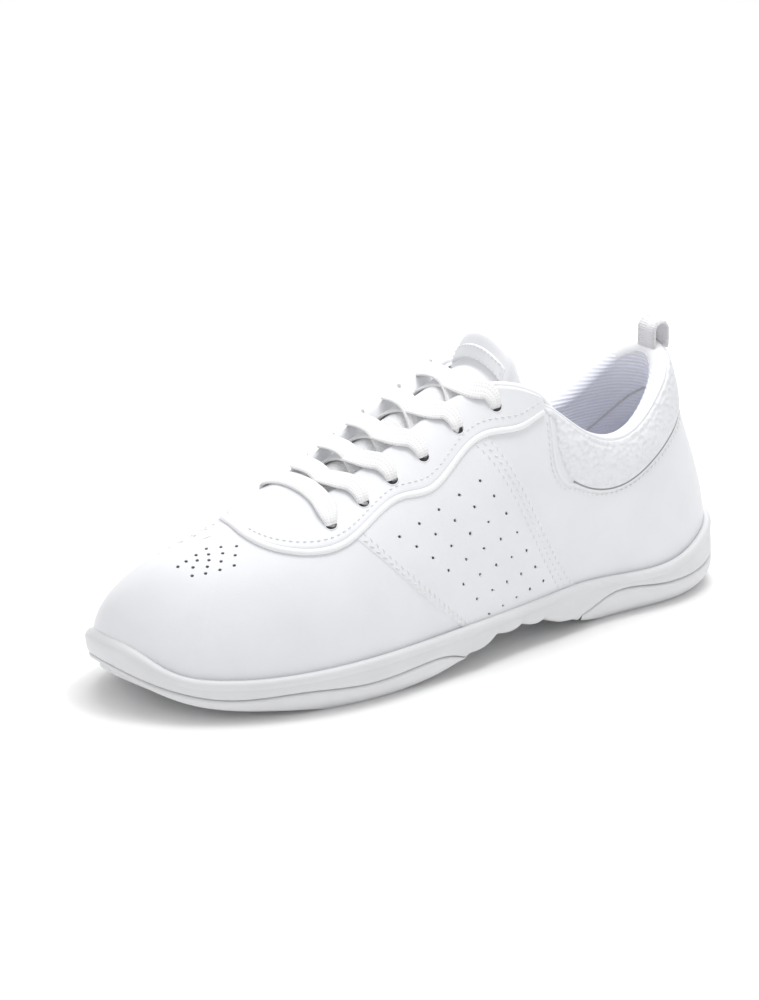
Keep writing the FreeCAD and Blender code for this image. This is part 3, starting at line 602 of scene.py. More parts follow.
def build_panels():
    """Side panels and rear quarters, with perforations and the stitch rows of their seams."""
    for sign, name in NAMES.items():
        panel = plate("side_panel_" + name, lambda t, s=sign: s * (rear_seam(t) - 0.001),
                      lambda t, s=sign: s * (front_seam(t) + 0.001), constant(0.0), constant(0.985),
                      0.35, leather, step=0.45, edge=0.9, holes=perforations(sign), hole_r=0.64, hole_depth=1.0)
        finish_piece(panel, "shoe", ["side_panel_" + name])
        # dark discs under the perforations: painted shade in the holes
        places = [(over(np.float64(w), np.float64(v), 0.35), normal(np.float64(w), np.float64(v)))
                  for w, v in perforations(sign)]
        shade_discs("perforation_painted_shade_" + name, places, 0.58, 0.30)
        quarter = plate("rear_quarter_" + name, lambda t, s=sign: np.asarray(t) * 0 + s * 0.0005,
                        lambda t, s=sign: s * (rear_seam(t) + 0.004), constant(0.0), constant(0.955),
                        0.0, leather, step=1.2, edge=0.4, soft_sides=(0, 1, 1, 1))
        finish_piece(quarter, "shoe", ["rear_quarter_" + name])
        for k, (shift, side) in enumerate(((0.010, 0.9), (0.0035, -0.9))):
            v = np.linspace(0.045, 0.70, 60)
            w = sign * (front_seam(v) - shift)
            row = stitches("seam_front_%s_%d" % (name, k + 1), over(w, v, 0.30), normal(w, v), 1.9, 1.1, 0.62,
                           side * 0.55 * sign, 0.12)
            finish_piece(row, "shoe")
        for k, (shift, side) in enumerate(((0.004, 0.8), (0.014, -0.8), (0.024, 0.8))):
            v = np.linspace(0.045, 0.76, 60)
            w = sign * (rear_seam(v) + shift)
            row = stitches("seam_rear_%s_%d" % (name, k + 1), over(w, v, 0.30), normal(w, v), 1.8, 1.2, 0.6,
                           side * 0.5 * sign, 0.12)
            finish_piece(row, "shoe")
    v = np.linspace(0.02, 0.69, 60)
    seam = sweep(over(v * 0, v, 0.05), normal(v * 0, v), ellipse(1.3, 0.5, 8))
    finish_piece(make("heel_centre_seam", *seam, leather), "shoe")


def build_eyestay():
    """Both arms of the eyestay, joined over the front of the throat, with their eyelets pressed in."""
    u = np.linspace(TIP - 0.004, STAY_FRONT, 190)
    t = np.linspace(0, 1, 34)
    height, edge = 1.25, 1.2
    sides = {}
    for sign in (1, -1):
        U, T = np.meshgrid(u, t, indexing="ij")
        low = np.minimum(stay_low(U) + 0.004, 0.985)
        V = low + (1.0 - low) * T
        W = np.where(sign > 0, U, -U)
        n = normal(W, np.minimum(V, 0.996))
        fall = rounded(T * 16, edge) * rounded((U - TIP + 0.004) * 300, edge)
        dist = np.where(U > BRIDGE, 99.0, (1 - T) * 14)
        fall = np.minimum(fall, rounded(dist + 0.15, edge))
        p = skin(W, V) + n * (height * fall)[..., None]
        holes = [(over(np.float64(w), v, height), normal(np.float64(w), v)) for w, v in EYELETS[sign]]
        p = punch(p.copy(), holes, 2.15, 2.6)
        sides[sign] = (p, n)
    nu, nv = len(u), len(t)
    front = int(np.searchsorted(u, BRIDGE))
    pl, pm = sides[1][0], sides[-1][0]
    verts = [pl.reshape(-1, 3), pm.reshape(-1, 3)]
    faces = grid_faces(nu, nv) + grid_faces(nu, nv, start=nu * nv, flip=True)
    start = 2 * nu * nv
    rows = 15
    a, b = pl[front:, -1], pm[front:, -1]
    da, db = pl[front:, -1] - pl[front:, -4], pm[front:, -1] - pm[front:, -4]
    span = np.linalg.norm(b - a, axis=1, keepdims=True)
    da, db = unit(da) * span, -unit(db) * span
    q = np.linspace(0, 1, rows)[None, :, None]
    h00, h10 = 2 * q ** 3 - 3 * q ** 2 + 1, q ** 3 - 2 * q ** 2 + q
    h01, h11 = -2 * q ** 3 + 3 * q ** 2, q ** 3 - q ** 2
    bridge = a[:, None] * h00 + da[:, None] * h10 * 0.7 + b[:, None] * h01 + db[:, None] * h11 * 0.7
    verts.append(bridge.reshape(-1, 3))
    faces += grid_faces(len(a), rows, start=start)
    start += len(a) * rows
    wall = bridge[0][None] + np.array([0, -0.25, -0.9, -3.0])[:, None, None] * np.array([0, 0, 1.0])
    wall += np.array([0, -0.5, -0.8, -0.8])[:, None, None] * np.array([1.0, 0, 0])
    verts.append(wall.reshape(-1, 3))
    faces += grid_faces(4, rows, start=start)
    start += 4 * rows
    for sign in (1, -1):
        p, n = sides[sign]
        edge_row, edge_n = p[:front + 1, -1], n[:front + 1, -1]
        inward = unit(p[:front + 1, -1] - p[:front + 1, -6])
        drop = [edge_row + inward * o - edge_n * d for o, d in ((0, 0), (0.5, 0.25), (0.8, 1.0), (0.8, 4.2))]
        verts.append(np.stack(drop, 1).reshape(-1, 3))
        faces += grid_faces(front + 1, 4, start=start, flip=sign < 0)
        start += 4 * (front + 1)
    ob = make("eyestay", np.concatenate(verts), faces, leather, sharp=70)
    weld(ob, 0.03)
    finish_piece(ob, "shoe", ["eyestay", "eyestay_backing"])

    us = np.linspace(TIP, 0.8455, 150)
    path = np.concatenate([over(us, stay_low(us), 0.55), over(-us[::-1], stay_low(us[::-1]), 0.55)])
    ups = np.concatenate([normal(us, stay_low(us)), normal(-us[::-1], stay_low(us[::-1]))])
    path, ups = resample(path, ups, 0.8)
    for _ in range(4):
        path[1:-1] = (path[:-2] + 2 * path[1:-1] + path[2:]) / 4
    bead = make("eyestay_bead", *sweep(path, unit(ups), ellipse(2.5, 1.9, 14)), rim_leather)
    outward_normals(bead)
    finish_piece(bead, "shoe", ["eyestay_bead"])
    for sign, name in NAMES.items():
        us = np.linspace(TIP + 0.004, 0.815, 200)
        v = np.minimum(stay_low(us) + 0.058, 0.97)
        row = stitches("eyestay_stitches_" + name, over(sign * us, v, 1.27), normal(sign * us, v),
                       1.6, 0.9, 0.5, 0.0, 0.12)
        finish_piece(row, "shoe")
        for k, (w, v) in enumerate(EYELETS[sign]):
            centre, axis = over(np.float64(w), v, 1.25), normal(np.float64(w), v)
            a = np.linspace(0, 2 * math.pi, 41)[:-1]
            e1 = unit(np.cross(axis, [0, 0, 1.0]))
            e2 = np.cross(axis, e1)
            ring = centre + (e1 * np.cos(a)[:, None] + e2 * np.sin(a)[:, None]) * 2.28
            ring = np.concatenate([ring, ring[:1]])
            tube = sweep(ring, np.repeat(axis[None], 41, 0), ellipse(0.5, 0.36, 8))
            liner = make("eyelet_edge_%s_%d" % (name, k + 1), *tube, leather)
            finish_piece(liner, "shoe")
            # a dark disc inside each eyelet: painted shade in the eyelet's hole
            disc_r = np.array([0.0, 0.7, 1.4, 2.0, 2.2])
            spokes = e1 * np.cos(a)[:, None, None] + e2 * np.sin(a)[:, None, None]
            g = centre - axis * 0.75 + spokes * disc_r[:, None]
            shade = make("eyelet_painted_shade_%s_%d" % (name, k + 1), g.reshape(-1, 3), grid_faces(41, 5), painted_shade_mat)
            finish_piece(shade, "shoe")


# ------------------------------------------------------------------ collar
INNER = LEATHER + GAP
COUNTER = 1.4
RIB_SPACING = 1.35


def swell(v):
    t = np.clip((v - 0.40) / 0.22, 0, 1)
    return PAD * t * t * (3 - 2 * t)


def lining_depth(v):
    return INNER + COUNTER + GAP + swell(v) * 0.80


def ribbing(points):
    """Ribs of the lining's knit, leaning a little."""
    return np.cos(2 * math.pi * (points[..., 2] + 0.10 * points[..., 0]) / RIB_SPACING)


def build_collar():
    """Padded panel, rolled rim, ribbed lining, welt with its stitches, and the binding of the topline."""
    end = COLLAR_END - 0.004

    def puff(S, T):
        dome = np.clip(4 * T * (1 - T), 0, 1) ** 0.6 * np.clip(np.minimum(S, 1 - S) * 26, 0, 1) ** 0.5
        return 1.25 * dome
    pad = plate("collar_panel", constant(-end), constant(end), collar_low, constant(ROLL + 0.01),
                0.45, pebbled, step=0.9, edge=1.0, thick=1.4, bulge=puff)
    finish_piece(pad, "shoe", ["collar_panel"])

    w = np.linspace(-0.412, 0.412, 330)
    narrow = np.clip((np.abs(w) - 0.345) / 0.060, 0, 1)
    narrow = narrow * narrow * (3 - 2 * narrow)
    near = over(w, np.full_like(w, ROLL), 0.75 - 1.3 * narrow)
    far = over(w, np.full_like(w, ROLL), -(lining_depth(ROLL) + LINING) * (1 - narrow) - 3.0 * narrow)
    middle, across = (near + far) / 2, (near - far) / 2
    up = unit(skin(w, 1.0) - skin(w, ROLL))
    a = np.concatenate([np.linspace(-0.35, 1.45, 46), np.linspace(1.5, math.pi + 0.2, 30)])
    wide = 1 + 0.02 * np.cos(2 * a)
    side_on = np.clip(np.abs(w) / 0.12, 0, 1)[:, None]
    groove_at = 0.98 - 0.40 * side_on * side_on * (3 - 2 * side_on)
    groove = 1 - 0.17 * np.exp(-((a - groove_at) / 0.10) ** 2)
    groove = groove + 0.05 * np.exp(-((a - groove_at - 0.27) / 0.16) ** 2)
    half = np.linalg.norm(across, axis=1)[:, None, None]
    out = middle[:, None] + across[:, None] * (np.cos(a) * groove * wide)[..., None]
    out = out + up[:, None] * (half * (np.sin(a) * groove)[..., None] + 0.15)
    ribs = 0.13 * ribbing(out) * np.clip((a - 1.7) * 4, 0, 1)
    out = out + unit(out - middle[:, None]) * (ribs * (side_on > 0.7))[..., None]
    inner = middle[:, None] + across[:, None] * (np.cos(a) * 0.72)[None, :, None]
    inner = inner + up[:, None] * (half * (np.sin(a) * 0.72)[None, :, None] + 0.15)
    rim = solid_grid("collar_rim", out, inner, rim_leather)
    rim.data.materials.append(pebbled)
    rim.data.materials.append(knit)
    for poly in rim.data.polygons:
        first = min(poly.vertices)
        if first >= len(w) * len(a):
            continue
        row, column_angle = first // len(a), a[first % len(a)]
        if column_angle < groove_at[row, 0] - 0.03:
            poly.material_index = 1
        elif column_angle > 1.72 and side_on[row, 0] > 0.7:
            poly.material_index = 2
    finish_piece(rim, "shoe", ["collar_rim"])

    w = np.linspace(-end, end, 240)
    v = np.linspace(0.10, ROLL + 0.012, 300)
    W, V = np.meshgrid(w, v, indexing="ij")
    base, n = skin(W, V), normal(W, V)
    ribs = 0.15 * ribbing(base) * np.clip((V - 0.12) * 20, 0, 1)
    depth = lining_depth(V) - ribs
    lining = solid_grid("collar_lining", base - n * depth[..., None],
                        base - n * (depth + LINING)[..., None], knit)
    finish_piece(lining, "shoe", ["collar_lining"])
    for sign, name in NAMES.items():
        q = np.linspace(0, 1, 50)
        u, vv = 0.010 + 0.31 * q, 0.76 - 0.165 * q - 0.03 * np.sin(q * math.pi)
        line = over(sign * u, vv, -(lining_depth(vv) + LINING + 0.05))
        tube = sweep(line, -normal(sign * u, vv), ellipse(1.0, 0.55, 8))
        seam = make("lining_seam_" + name, *tube, stiff_mat)
        finish_piece(seam, "shoe")
    # a raised welt round the panel's lower edge, with its stitch row outside it
    q = np.linspace(0, 1, 90)
    corner_u = np.concatenate([0.3645 + 0 * q[:40], 0.3645 - 0.026 * (1 - np.cos(q * math.pi / 2))])
    corner_v = np.concatenate([np.linspace(0.93, 0.715, 40), 0.715 - 0.108 * np.sin(q * math.pi / 2)])
    u_low = np.linspace(-0.334, 0.334, 300)
    v_low = collar_low_curve(np.abs(u_low))
    # a thin mid-grey tube along the panel's lower edge: a painted shadow line under the panel's edge
    line, ups = over(u_low, v_low - 0.002, 0.22), normal(u_low, v_low)
    seam = make("collar_shadow_line", *sweep(line, unit(ups), ellipse(0.75, 0.6, 8)), seam_shadow_mat)
    outward_normals(seam)
    finish_piece(seam, "shoe")
    for name, gap_v, gap_u in (("welt", 0.010, 0.0), ("stitch", 0.040, 0.006)):
        uu = np.concatenate([-(corner_u + gap_u), u_low, (corner_u + gap_u)[::-1]])
        vv = np.concatenate([corner_v - gap_v, v_low - gap_v, (corner_v - gap_v)[::-1]])
        line, ups = resample(over(uu, vv, 0.05), normal(uu, vv), 1.0)
        for _ in range(10):
            line[1:-1] = (line[:-2] + 2 * line[1:-1] + line[2:]) / 4
        if name == "welt":
            welt = make("collar_welt", *sweep(line, unit(ups), ellipse(1.5, 0.75, 10)), leather)
            outward_normals(welt)
            finish_piece(welt, "shoe")
        else:
            finish_piece(stitches("collar_stitches", line, unit(ups), 1.7, 1.0, 0.55, 0.0, 0.06), "shoe")
    # the topline's binding runs on from the rim to the throat
    for sign, name in NAMES.items():
        u = np.linspace(0.338, 0.452, 64)
        size = np.interp(u, [0.338, 0.350, 0.385, 0.452], [0.6, 2.2, 3.0, 2.6])
        depth = np.interp(u, [0.338, 0.355, 0.385, 0.452], [3.4, 2.6, 1.2, 0.6])
        line = over(sign * u, 0.992 + 0 * u, 0.0) - normal(sign * u, 0.98 + 0 * u) * depth[:, None]
        raised = np.interp(u, [0.338, 0.375], [-1.2, 1.3])[:, None]
        line = line + unit(skin(sign * u, 1.0 + 0 * u) - skin(sign * u, 0.96 + 0 * u)) * raised
        ring = ellipse(1.0, 1.0, 18)[None] * size[:, None, None] * np.array([0.92, 1.0])
        tube = sweep(line, normal(sign * u, 0.98 + 0 * u), ring)
        bind = make("topline_binding_" + name, *tube, rim_leather)
        outward_normals(bind)
        finish_piece(bind, "shoe")


def build_front_lining():
    """Lining under the panels and the vamp."""
    for sign, name in NAMES.items():
        u = np.linspace(COLLAR_END - 0.004, 0.999, 130)
        v = np.linspace(0.10, 0.975, 60)
        W, V = np.meshgrid(u * sign if sign > 0 else 2 - u, v, indexing="ij")
        base, n = skin(W, V), normal(W, V)
        edge = np.clip((W if sign > 0 else 2 - W) - 0.36, 0, 0.05) / 0.05
        depth = 2.15 + (1 - edge) * (lining_depth(V) - 2.15)
        ob = solid_grid("front_lining_" + name, base - n * depth[..., None],
                        base - n * (depth + LINING)[..., None], knit)
        nodes = ["quarter_lining", "vamp_lining"] if sign > 0 else []
        finish_piece(ob, "shoe", nodes)


# ------------------------------------------------------------------ sole
def wall_strip(name, w, z_low, z_high, mat, nodes, floor=False, lip=False, close=False):
    """Side wall of a sole part round the outline between two heights, edges rounded."""
    u = fold(w)[1]
    x_st = outline(w, 0.0)[0] + X0
    notch = np.zeros_like(w)
    for a, b in zip(NOTCHES, NOTCHES[1:]):
        inside = (x_st > a) & (x_st < b)
        notch = np.where(inside, np.sin(math.pi * (x_st - a) / (b - a)), notch)
    height = np.maximum(z_high - z_low, 0.02)
    r = np.minimum(1.3, height * 0.45)
    profile = []
    if floor:
        profile += [(6.5, z_low + 0.02), (3.2, z_low)]
    else:
        profile += [(4.5, z_low + 0.1), (1.4, z_low + 0.05)]
    for t in (0.0, 0.25, 0.55, 1.0):
        profile.append(((1 - math.sqrt(1 - (1 - t) ** 2)) * r, z_low + r * t))
    for t in np.linspace(0.08, 0.92, 14):
        profile.append((0.0, z_low + r + (height - 2 * r) * t))
    if lip:
        profile = profile[:-3]
        profile += [(inset, z_high - drop) for inset, drop in (
            (-0.25, 3.3), (-0.75, 2.6), (-0.95, 1.8), (-0.75, 1.0), (-0.1, 0.35),
            (0.9, 0.02), (1.9, 0.1), (2.55, 0.7), (2.9, 2.0), (3.3, 4.4))]
    else:
        for t in (1.0, 0.55, 0.25, 0.0):
            profile.append(((1 - math.sqrt(1 - (1 - t) ** 2)) * r, z_high - r * t))
        profile.append((2.2, z_high))
    grid = []
    toe = np.clip((u - 0.86) / 0.14, 0, 1)
    toe = toe * toe * (3 - 2 * toe)
    for inset, z in profile:
        z = np.broadcast_to(z, w.shape)
        if lip:
            inset = np.where(inset < 0, inset * (0.55 - 0.4 * toe), inset)
        total = inset + wall_inset(z) - 0.75 * notch * np.clip((z_high - z) / 8, 0, 1)
        drop = np.clip((lip_z(x_st) - 2.6 - z) / 15.5, 0, 1)
        total = total + toe * (6.9 * drop ** 1.4 + 2.1 * np.clip((z - lip_z(x_st) + 4.2) / 4.2, 0, 1) ** 2)
        x, y = outline(w, total)
        grid.append(np.stack([x, y, z], -1))
    P = np.stack(grid, 1)
    faces = grid_faces(*P.shape[:2], close_u=close)
    ob = make(name, P.reshape(-1, 3), faces, mat, sharp=60)
    outward_normals(ob)
    return finish_piece(ob, "shoe", nodes)


def edge_y(x, sign, inset):
    """Outline's y at a frame x on one side."""
    u = np.linspace(0, 1, 400)
    px, py = outline(np.where(sign > 0, u, -u), inset)
    order = np.argsort(px)
    return np.interp(x, px[order], py[order])


def underside(name, x0, x1, inset, mat, grooves, nodes=(), height=None):
    """Bottom of a sole part across its width, with a moulded tread."""
    x = np.linspace(x0, x1, int((x1 - x0) / 0.45)) - X0
    t = np.linspace(-1, 1, 150)
    a, b = edge_y(x, -1, inset), edge_y(x, 1, inset)
    X = np.repeat(x[:, None], len(t), 1)
    Y = (a + b)[:, None] / 2 + (b - a)[:, None] / 2 * t
    zb = np.maximum(tread_z(X + X0), 0) if height is None else height(X + X0)
    Z = zb + 0.03
    if grooves:
        wave = np.abs(((X + X0 + 0.55 * np.abs(Y)) / 9.0) % 1 - 0.5) * 2
        cut = np.clip((0.30 - wave) / 0.12, 0, 1)
        fine = np.abs(((X + X0 + 0.55 * np.abs(Y)) / 3.0) % 1 - 0.5) * 2
        cut = np.maximum(cut, 0.35 * np.clip((0.35 - fine) / 0.15, 0, 1))
        border = np.clip((1 - np.abs(t)) * 12, 0, 1)[None]
        ends = np.clip(np.minimum(X - x[0], x[-1] - X) / 3.0, 0, 1)
        Z = Z + 1.5 * cut * border * ends
    P = np.stack([X, Y, Z], -1)
    top = P.copy()
    top[..., 2] = np.maximum(P[..., 2] + 1.2, zb + 2.6)
    ob = solid_grid(name, P, top, mat, sharp=40)
    return finish_piece(ob, "shoe", nodes)


def build_sole():
    """Midsole, outsoles, columns of the arch, and the sockliner."""
    w = np.linspace(0, 2, 721)[:-1]
    x = outline(w, 0.0)[0] + X0
    low = np.maximum(tread_z(x), 0)
    for a, b in zip(NOTCHES, NOTCHES[1:]):
        inside = (x > a) & (x < b)
        low = low - np.where(inside, 1.3 * np.abs(np.sin(math.pi * (x - a) / (b - a))) ** 0.8, 0)
    low = np.where(x < 82, np.maximum(heel_groove(x), low), low)
    low = np.where(x > 141, np.maximum(front_groove(x), low), low)
    wall_strip("midsole_wall", w, low, lip_z(x), foam_mat, ["midsole"], lip=True, close=True)
    ends = {"heel": (-0.325, 0.325), "forefoot": (0.505, 1.495)}
    for name, groove, lim in (("heel", heel_groove, lambda s: s < 81.5),
                              ("forefoot", front_groove, lambda s: s > 141.5)):
        w0, w1 = ends[name]
        ww = np.linspace(w0, w1, 420)
        xs = outline(ww, 0.0)[0] + X0
        keep = lim(xs)
        ww, xs = ww[keep], xs[keep]
        bottom = np.maximum(tread_z(xs), 0)
        wall_strip(name + "_outsole_wall", ww, bottom, np.maximum(groove(xs) - 0.1, bottom + 0.05), rubber,
                   [], floor=True)
    underside("heel_tread", 5, 81, 5.6, rubber, True, ["heel_outsole"])
    underside("forefoot_tread", 142, 261, 5.6, rubber, True, ["forefoot_outsole"])
    underside("arch_underside", 78, 145, 3.2, foam_mat, False, [],
              height=lambda s: np.maximum(tread_z(s), 0) + 0.5)
    for sign, name in NAMES.items():
        for k, (cx, half) in enumerate(((93.5, 6.6), (106.8, 5.2), (119.3, 6.0), (132.5, 5.5))):
            a = np.linspace(0, 2 * math.pi, 49)[:-1]
            y = edge_y(cx - X0, sign, 6.8)
            rings = []
            for r, dz in ((1.0, 0.8), (0.99, -1.3), (0.94, -2.1), (0.82, -2.5), (0.4, -2.7), (0.02, -2.75)):
                ex, ey = cx - X0 + np.cos(a) * half * r, y + np.sin(a) * 5.4 * r
                rings.append(np.stack([ex, ey, np.maximum(tread_z(ex + X0), 1.2) + dz + 0.6 + 0 * a], -1))
            P = np.stack(rings, 1)
            lobe = make("support_column_%s_%d" % (name, k + 1), P.reshape(-1, 3),
                        grid_faces(48, 6, close_u=True), foam_mat)
            outward_normals(lobe)
            finish_piece(lobe, "shoe", ["arch_columns"] if (k == 0 and sign > 0) else ())
    # the sockliner, seen only from inside
    xs = np.linspace(8, 258, 260) - X0
    t = np.linspace(-1, 1, 70)
    a, b = edge_y(xs, -1, 8.6), edge_y(xs, 1, 8.6)
    X = np.repeat(xs[:, None], len(t), 1)
    Y = (a + b)[:, None] / 2 + (b - a)[:, None] / 2 * t
    Z = lip_z(X + X0) - FLOOR_DROP + GAP + BOARD + GAP + INSOLE - 0.25
    top = np.stack([X, Y, Z], -1)
    bottom = top - np.array([0, 0, INSOLE - 0.5])
    fall = rounded((1 - np.abs(t)) * 30, 1.4)[None]
    top[..., 2] -= (1 - fall) * 1.2
    sock = solid_grid("sockliner", top, bottom, knit)
    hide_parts("insole_front", "insole_rear")
    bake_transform(sock)


# ------------------------------------------------------------------ tongue
TONGUE_DEPTH, TONGUE_RISE, TONGUE_THICK, HINGE_U = 5.1, 4.7, 4.6, 0.440


def tongue_points(u, depth):
    """Nine points across the tongue at u, as in its CAD source."""
    down = -(TONGUE_DEPTH + depth)
    cols = np.array([0.70, 0.80, 0.90, 1.0])
    lateral, medial = over(u + cols * 0, cols, down), over(-u + cols * 0, cols, down)
    crown = (lateral[-1] + medial[-1]) / 2 + [0, 0, TONGUE_RISE]
    return np.concatenate([lateral, [crown], medial[::-1]])


def build_tongue():
    """Tongue with its binding and its leather top."""
    us = list(np.linspace(0.80, HINGE_U - 0.012, 40))
    free = np.linspace(0, 1, 22)[1:]
    rows = []
    for depth in (0.0, TONGUE_THICK):
        band = [tongue_points(u, depth) for u in us]
        root, mid = band[-1], band[-1][4]
        side = (root[:, 1] - mid[1]) / 19.0
        near = side > 0
        lift = np.stack([-4.5 - np.where(near, 4.6, 2.4) * side ** 2, 0 * side,
                         12.6 - np.where(near, 4.2, 1.2) * np.abs(side) ** 3], -1)
        gather = (mid - root) * np.stack([0 * side + 0.6, np.where(near, 0.16, 0.10),
                                          np.where(near, 0.25, 0.42)], -1)
        band += [root + (lift + gather) * s for s in free]
        rows.append(np.array(band))
    face, back = rows
    k = np.linspace(0, 8, 49)

    def across(r):
        return np.stack([np.stack([Curve(range(9), row[:, c])(k) for c in range(3)], 1) for row in r])
    face, back = across(face), across(back)
    n_rows = len(face)
    thin_side = rounded(np.minimum(k, 8 - k) * 5.0, 3.0)[None, :, None]
    from_top = np.concatenate([np.full(40, 99.0), (1 - free) * 14.0])[:, None, None]
    thin_top = rounded(from_top + 0.1, 3.4)
    keep = 0.22 + 0.78 * np.minimum(thin_side, np.maximum(thin_top, 0.0))
    centre = (face + back) / 2
    face, back = centre + (face - centre) * keep, centre + (back - centre) * keep
    swell_up = (np.sin(np.linspace(0, 1, n_rows) * math.pi)[:, None, None] * 0.3)
    face[..., 2] += (swell_up * thin_side)[..., 0]
    s_fix = 40
    uv = np.stack(np.meshgrid(np.arange(n_rows) * 2.6, k * 5.0, indexing="ij"), -1)
    ob = solid_grid("tongue", face, back, mesh_mat, uv, sharp=75)
    ob.data.materials.append(leather)
    ob.data.materials.append(knit)
    nv = len(k)
    n = n_rows * nv
    for poly in ob.data.polygons:
        first = min(poly.vertices)
        row = first // nv
        if first >= n:
            poly.material_index = 2
        elif row >= s_fix - 6:
            poly.material_index = 1
    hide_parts("tongue_facing", "tongue_pad", "tongue_lining", "tongue_top_facing", "tongue_top_pad",
                "tongue_top_lining")
    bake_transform(ob)
    # a rolled binding round the free edge and a plain raised patch on the face
    edge = (face[s_fix:, :] + back[s_fix:, :]) / 2
    loop = np.concatenate([edge[4:, 0], edge[-1, 1:-1], edge[4:, -1][::-1]])
    ups = np.concatenate([np.repeat([[0, 1.0, 0]], len(edge) - 4, 0), np.repeat([[0.3, 0, 1.0]], nv - 2, 0),
                          np.repeat([[0, -1.0, 0]], len(edge) - 4, 0)])
    for _ in range(12):
        loop[1:-1] = (loop[:-2] + 2 * loop[1:-1] + loop[2:]) / 4
        ups[1:-1] = (ups[:-2] + 2 * ups[1:-1] + ups[2:]) / 4
    loop, ups = resample(loop, ups, 1.0)
    binding = make("tongue_binding", *sweep(loop, unit(ups), ellipse(2.8, 2.4, 14)), rim_leather)
    outward_normals(binding)
    finish_piece(binding, "tongue_top")
    i0, i1, j0, j1 = s_fix + 3, s_fix + 13, 17, 32
    patch = face[i0:i1, j0:j1]
    du, dv = np.gradient(patch, axis=0), np.gradient(patch, axis=1)
    n_p = unit(np.cross(du, dv))
    if n_p[..., 0].mean() < 0:
        n_p = -n_p
    I, J = np.meshgrid(np.linspace(0, 1, i1 - i0), np.linspace(0, 1, j1 - j0), indexing="ij")
    raise_by = 0.25 + 0.6 * rounded(np.minimum(np.minimum(I, 1 - I) * 7, np.minimum(J, 1 - J) * 14), 1.2)
    top = patch + n_p * raise_by[..., None]
    plain = solid_grid("tongue_patch", top, patch - n_p * 0.3, leather, sharp=70)
    plain.modifiers.new("smooth", "SUBSURF").levels = 2
    plain.modifiers["smooth"].render_levels = 2
    finish_piece(plain, "tongue_top", ())
    border = np.concatenate([patch[1, 1:-1], patch[1:-1, -2], patch[-2, 1:-1][::-1], patch[1:-1, 1][::-1]])
    border_n = np.concatenate([n_p[1, 1:-1], n_p[1:-1, -2], n_p[-2, 1:-1][::-1], n_p[1:-1, 1][::-1]])
    row = stitches("tongue_patch_stitches", border + border_n * 0.85, border_n, 1.4, 0.8, 0.4, 0, 0.05)
    finish_piece(row, "tongue_top")


# ------------------------------------------------------------------ lace, loop
LACE_HIGH, LACE_LOW = 2.0, -3.7


def strand(sign):
    """Points of half of the lace with the way its flat face looks and its width and thickness there."""
    u, v = EYELET_U[0], EYELET_V[0]
    pts = []

    def put(w, vv, h, wide, thick, tilt=None):
        p, n = over(np.float64(w), np.float64(vv), h), normal(np.float64(w), np.float64(min(vv, 0.995)))
        pts.append((*p, *(n if tilt is None else unit(np.array(tilt, float))), wide, thick))
    put(sign * u, 0.94, LACE_HIGH + 0.2, 7.6, 1.6)
    put(sign * u, v + 0.075, LACE_HIGH + 0.3, 7.0, 1.8)
    put(sign * u, v + 0.006, 0.9, 4.3, 2.4)
    high = 4.0 if sign > 0 else 1.5
    for k in range(5):
        u, v, step = EYELET_U[k], EYELET_V[k], EYELET_U[k + 1] - EYELET_U[k]
        put(sign * (u + 0.02 * step), v + 0.035, LACE_LOW + 1.2, 4.0, 2.0)
        put(sign * (u + 0.22 * step), 0.955, LACE_LOW, 6.2, 1.5)
        a, b = skin(u + 0.52 * step, 1.0), skin(-(u + 0.52 * step), 1.0)
        middle = (a + b) / 2 + [0, 0, high]
        pts.append((*middle, 0.35, 0.0, 0.94, 7.6, 1.5))
        sign = -sign
        put(sign * (u + 0.78 * step), 0.985, LACE_HIGH + 0.35, 7.6, 1.6)
        put(sign * (u + 0.93 * step), (0.985 + EYELET_V[k + 1]) / 2 + 0.035, LACE_HIGH + 0.4, 7.2, 1.8)
        put(sign * EYELET_U[k + 1], EYELET_V[k + 1] + 0.006, 0.9, 4.3, 2.4)
        high = 5.5 - high
    u, v = EYELET_U[-1], EYELET_V[-1]
    put(sign * u, v - 0.005, LACE_LOW + 1.0, 4.0, 2.0)
    put(sign * (u - 0.004), 0.74, LACE_LOW - 0.4, 5.2, 1.6)
    put(sign * (u - 0.008), 0.60, LACE_LOW - 0.4, 3.6, 2.4)
    return pts


def build_lace():
    """Flat lace crossed through the eyelets."""
    route = np.array(strand(-1)[::-1] + strand(1))
    path, extra = resample(route[:, :3], route[:, 3:], 0.9)
    for _ in range(2):
        path[1:-1] = (path[:-2] + 2 * path[1:-1] + path[2:]) / 4
    up = unit(extra[:, :3])
    wide, thick = np.clip(extra[:, 3], 3.4, 7.7), np.clip(extra[:, 4], 1.35, 2.5)
    run = np.concatenate([[0], np.cumsum(np.linalg.norm(np.diff(path, axis=0), axis=1))])
    base = ellipse(1.0, 1.0, 22, 2.6)
    ring = np.stack([base[None, :, 0] * wide[:, None], base[None, :, 1] * thick[:, None]], -1)
    ring[..., 1] *= 1 - 0.16 * np.cos(base[None, :, 0] * math.pi * 2) * (base[None, :, 1] > 0)
    verts, faces = sweep(path, up, ring)
    perimeter = np.linspace(0, 1, 22, endpoint=False) * 15
    uv = np.stack(np.broadcast_arrays(run[:, None], perimeter[None]), -1).reshape(-1, 2)
    ob = make("lace", verts, faces, lace_mat, uv)
    outward_normals(ob)
    finish_piece(ob, "shoe", ["lace"])
    return run[-1]


LOOP_SHIFT = 1.8


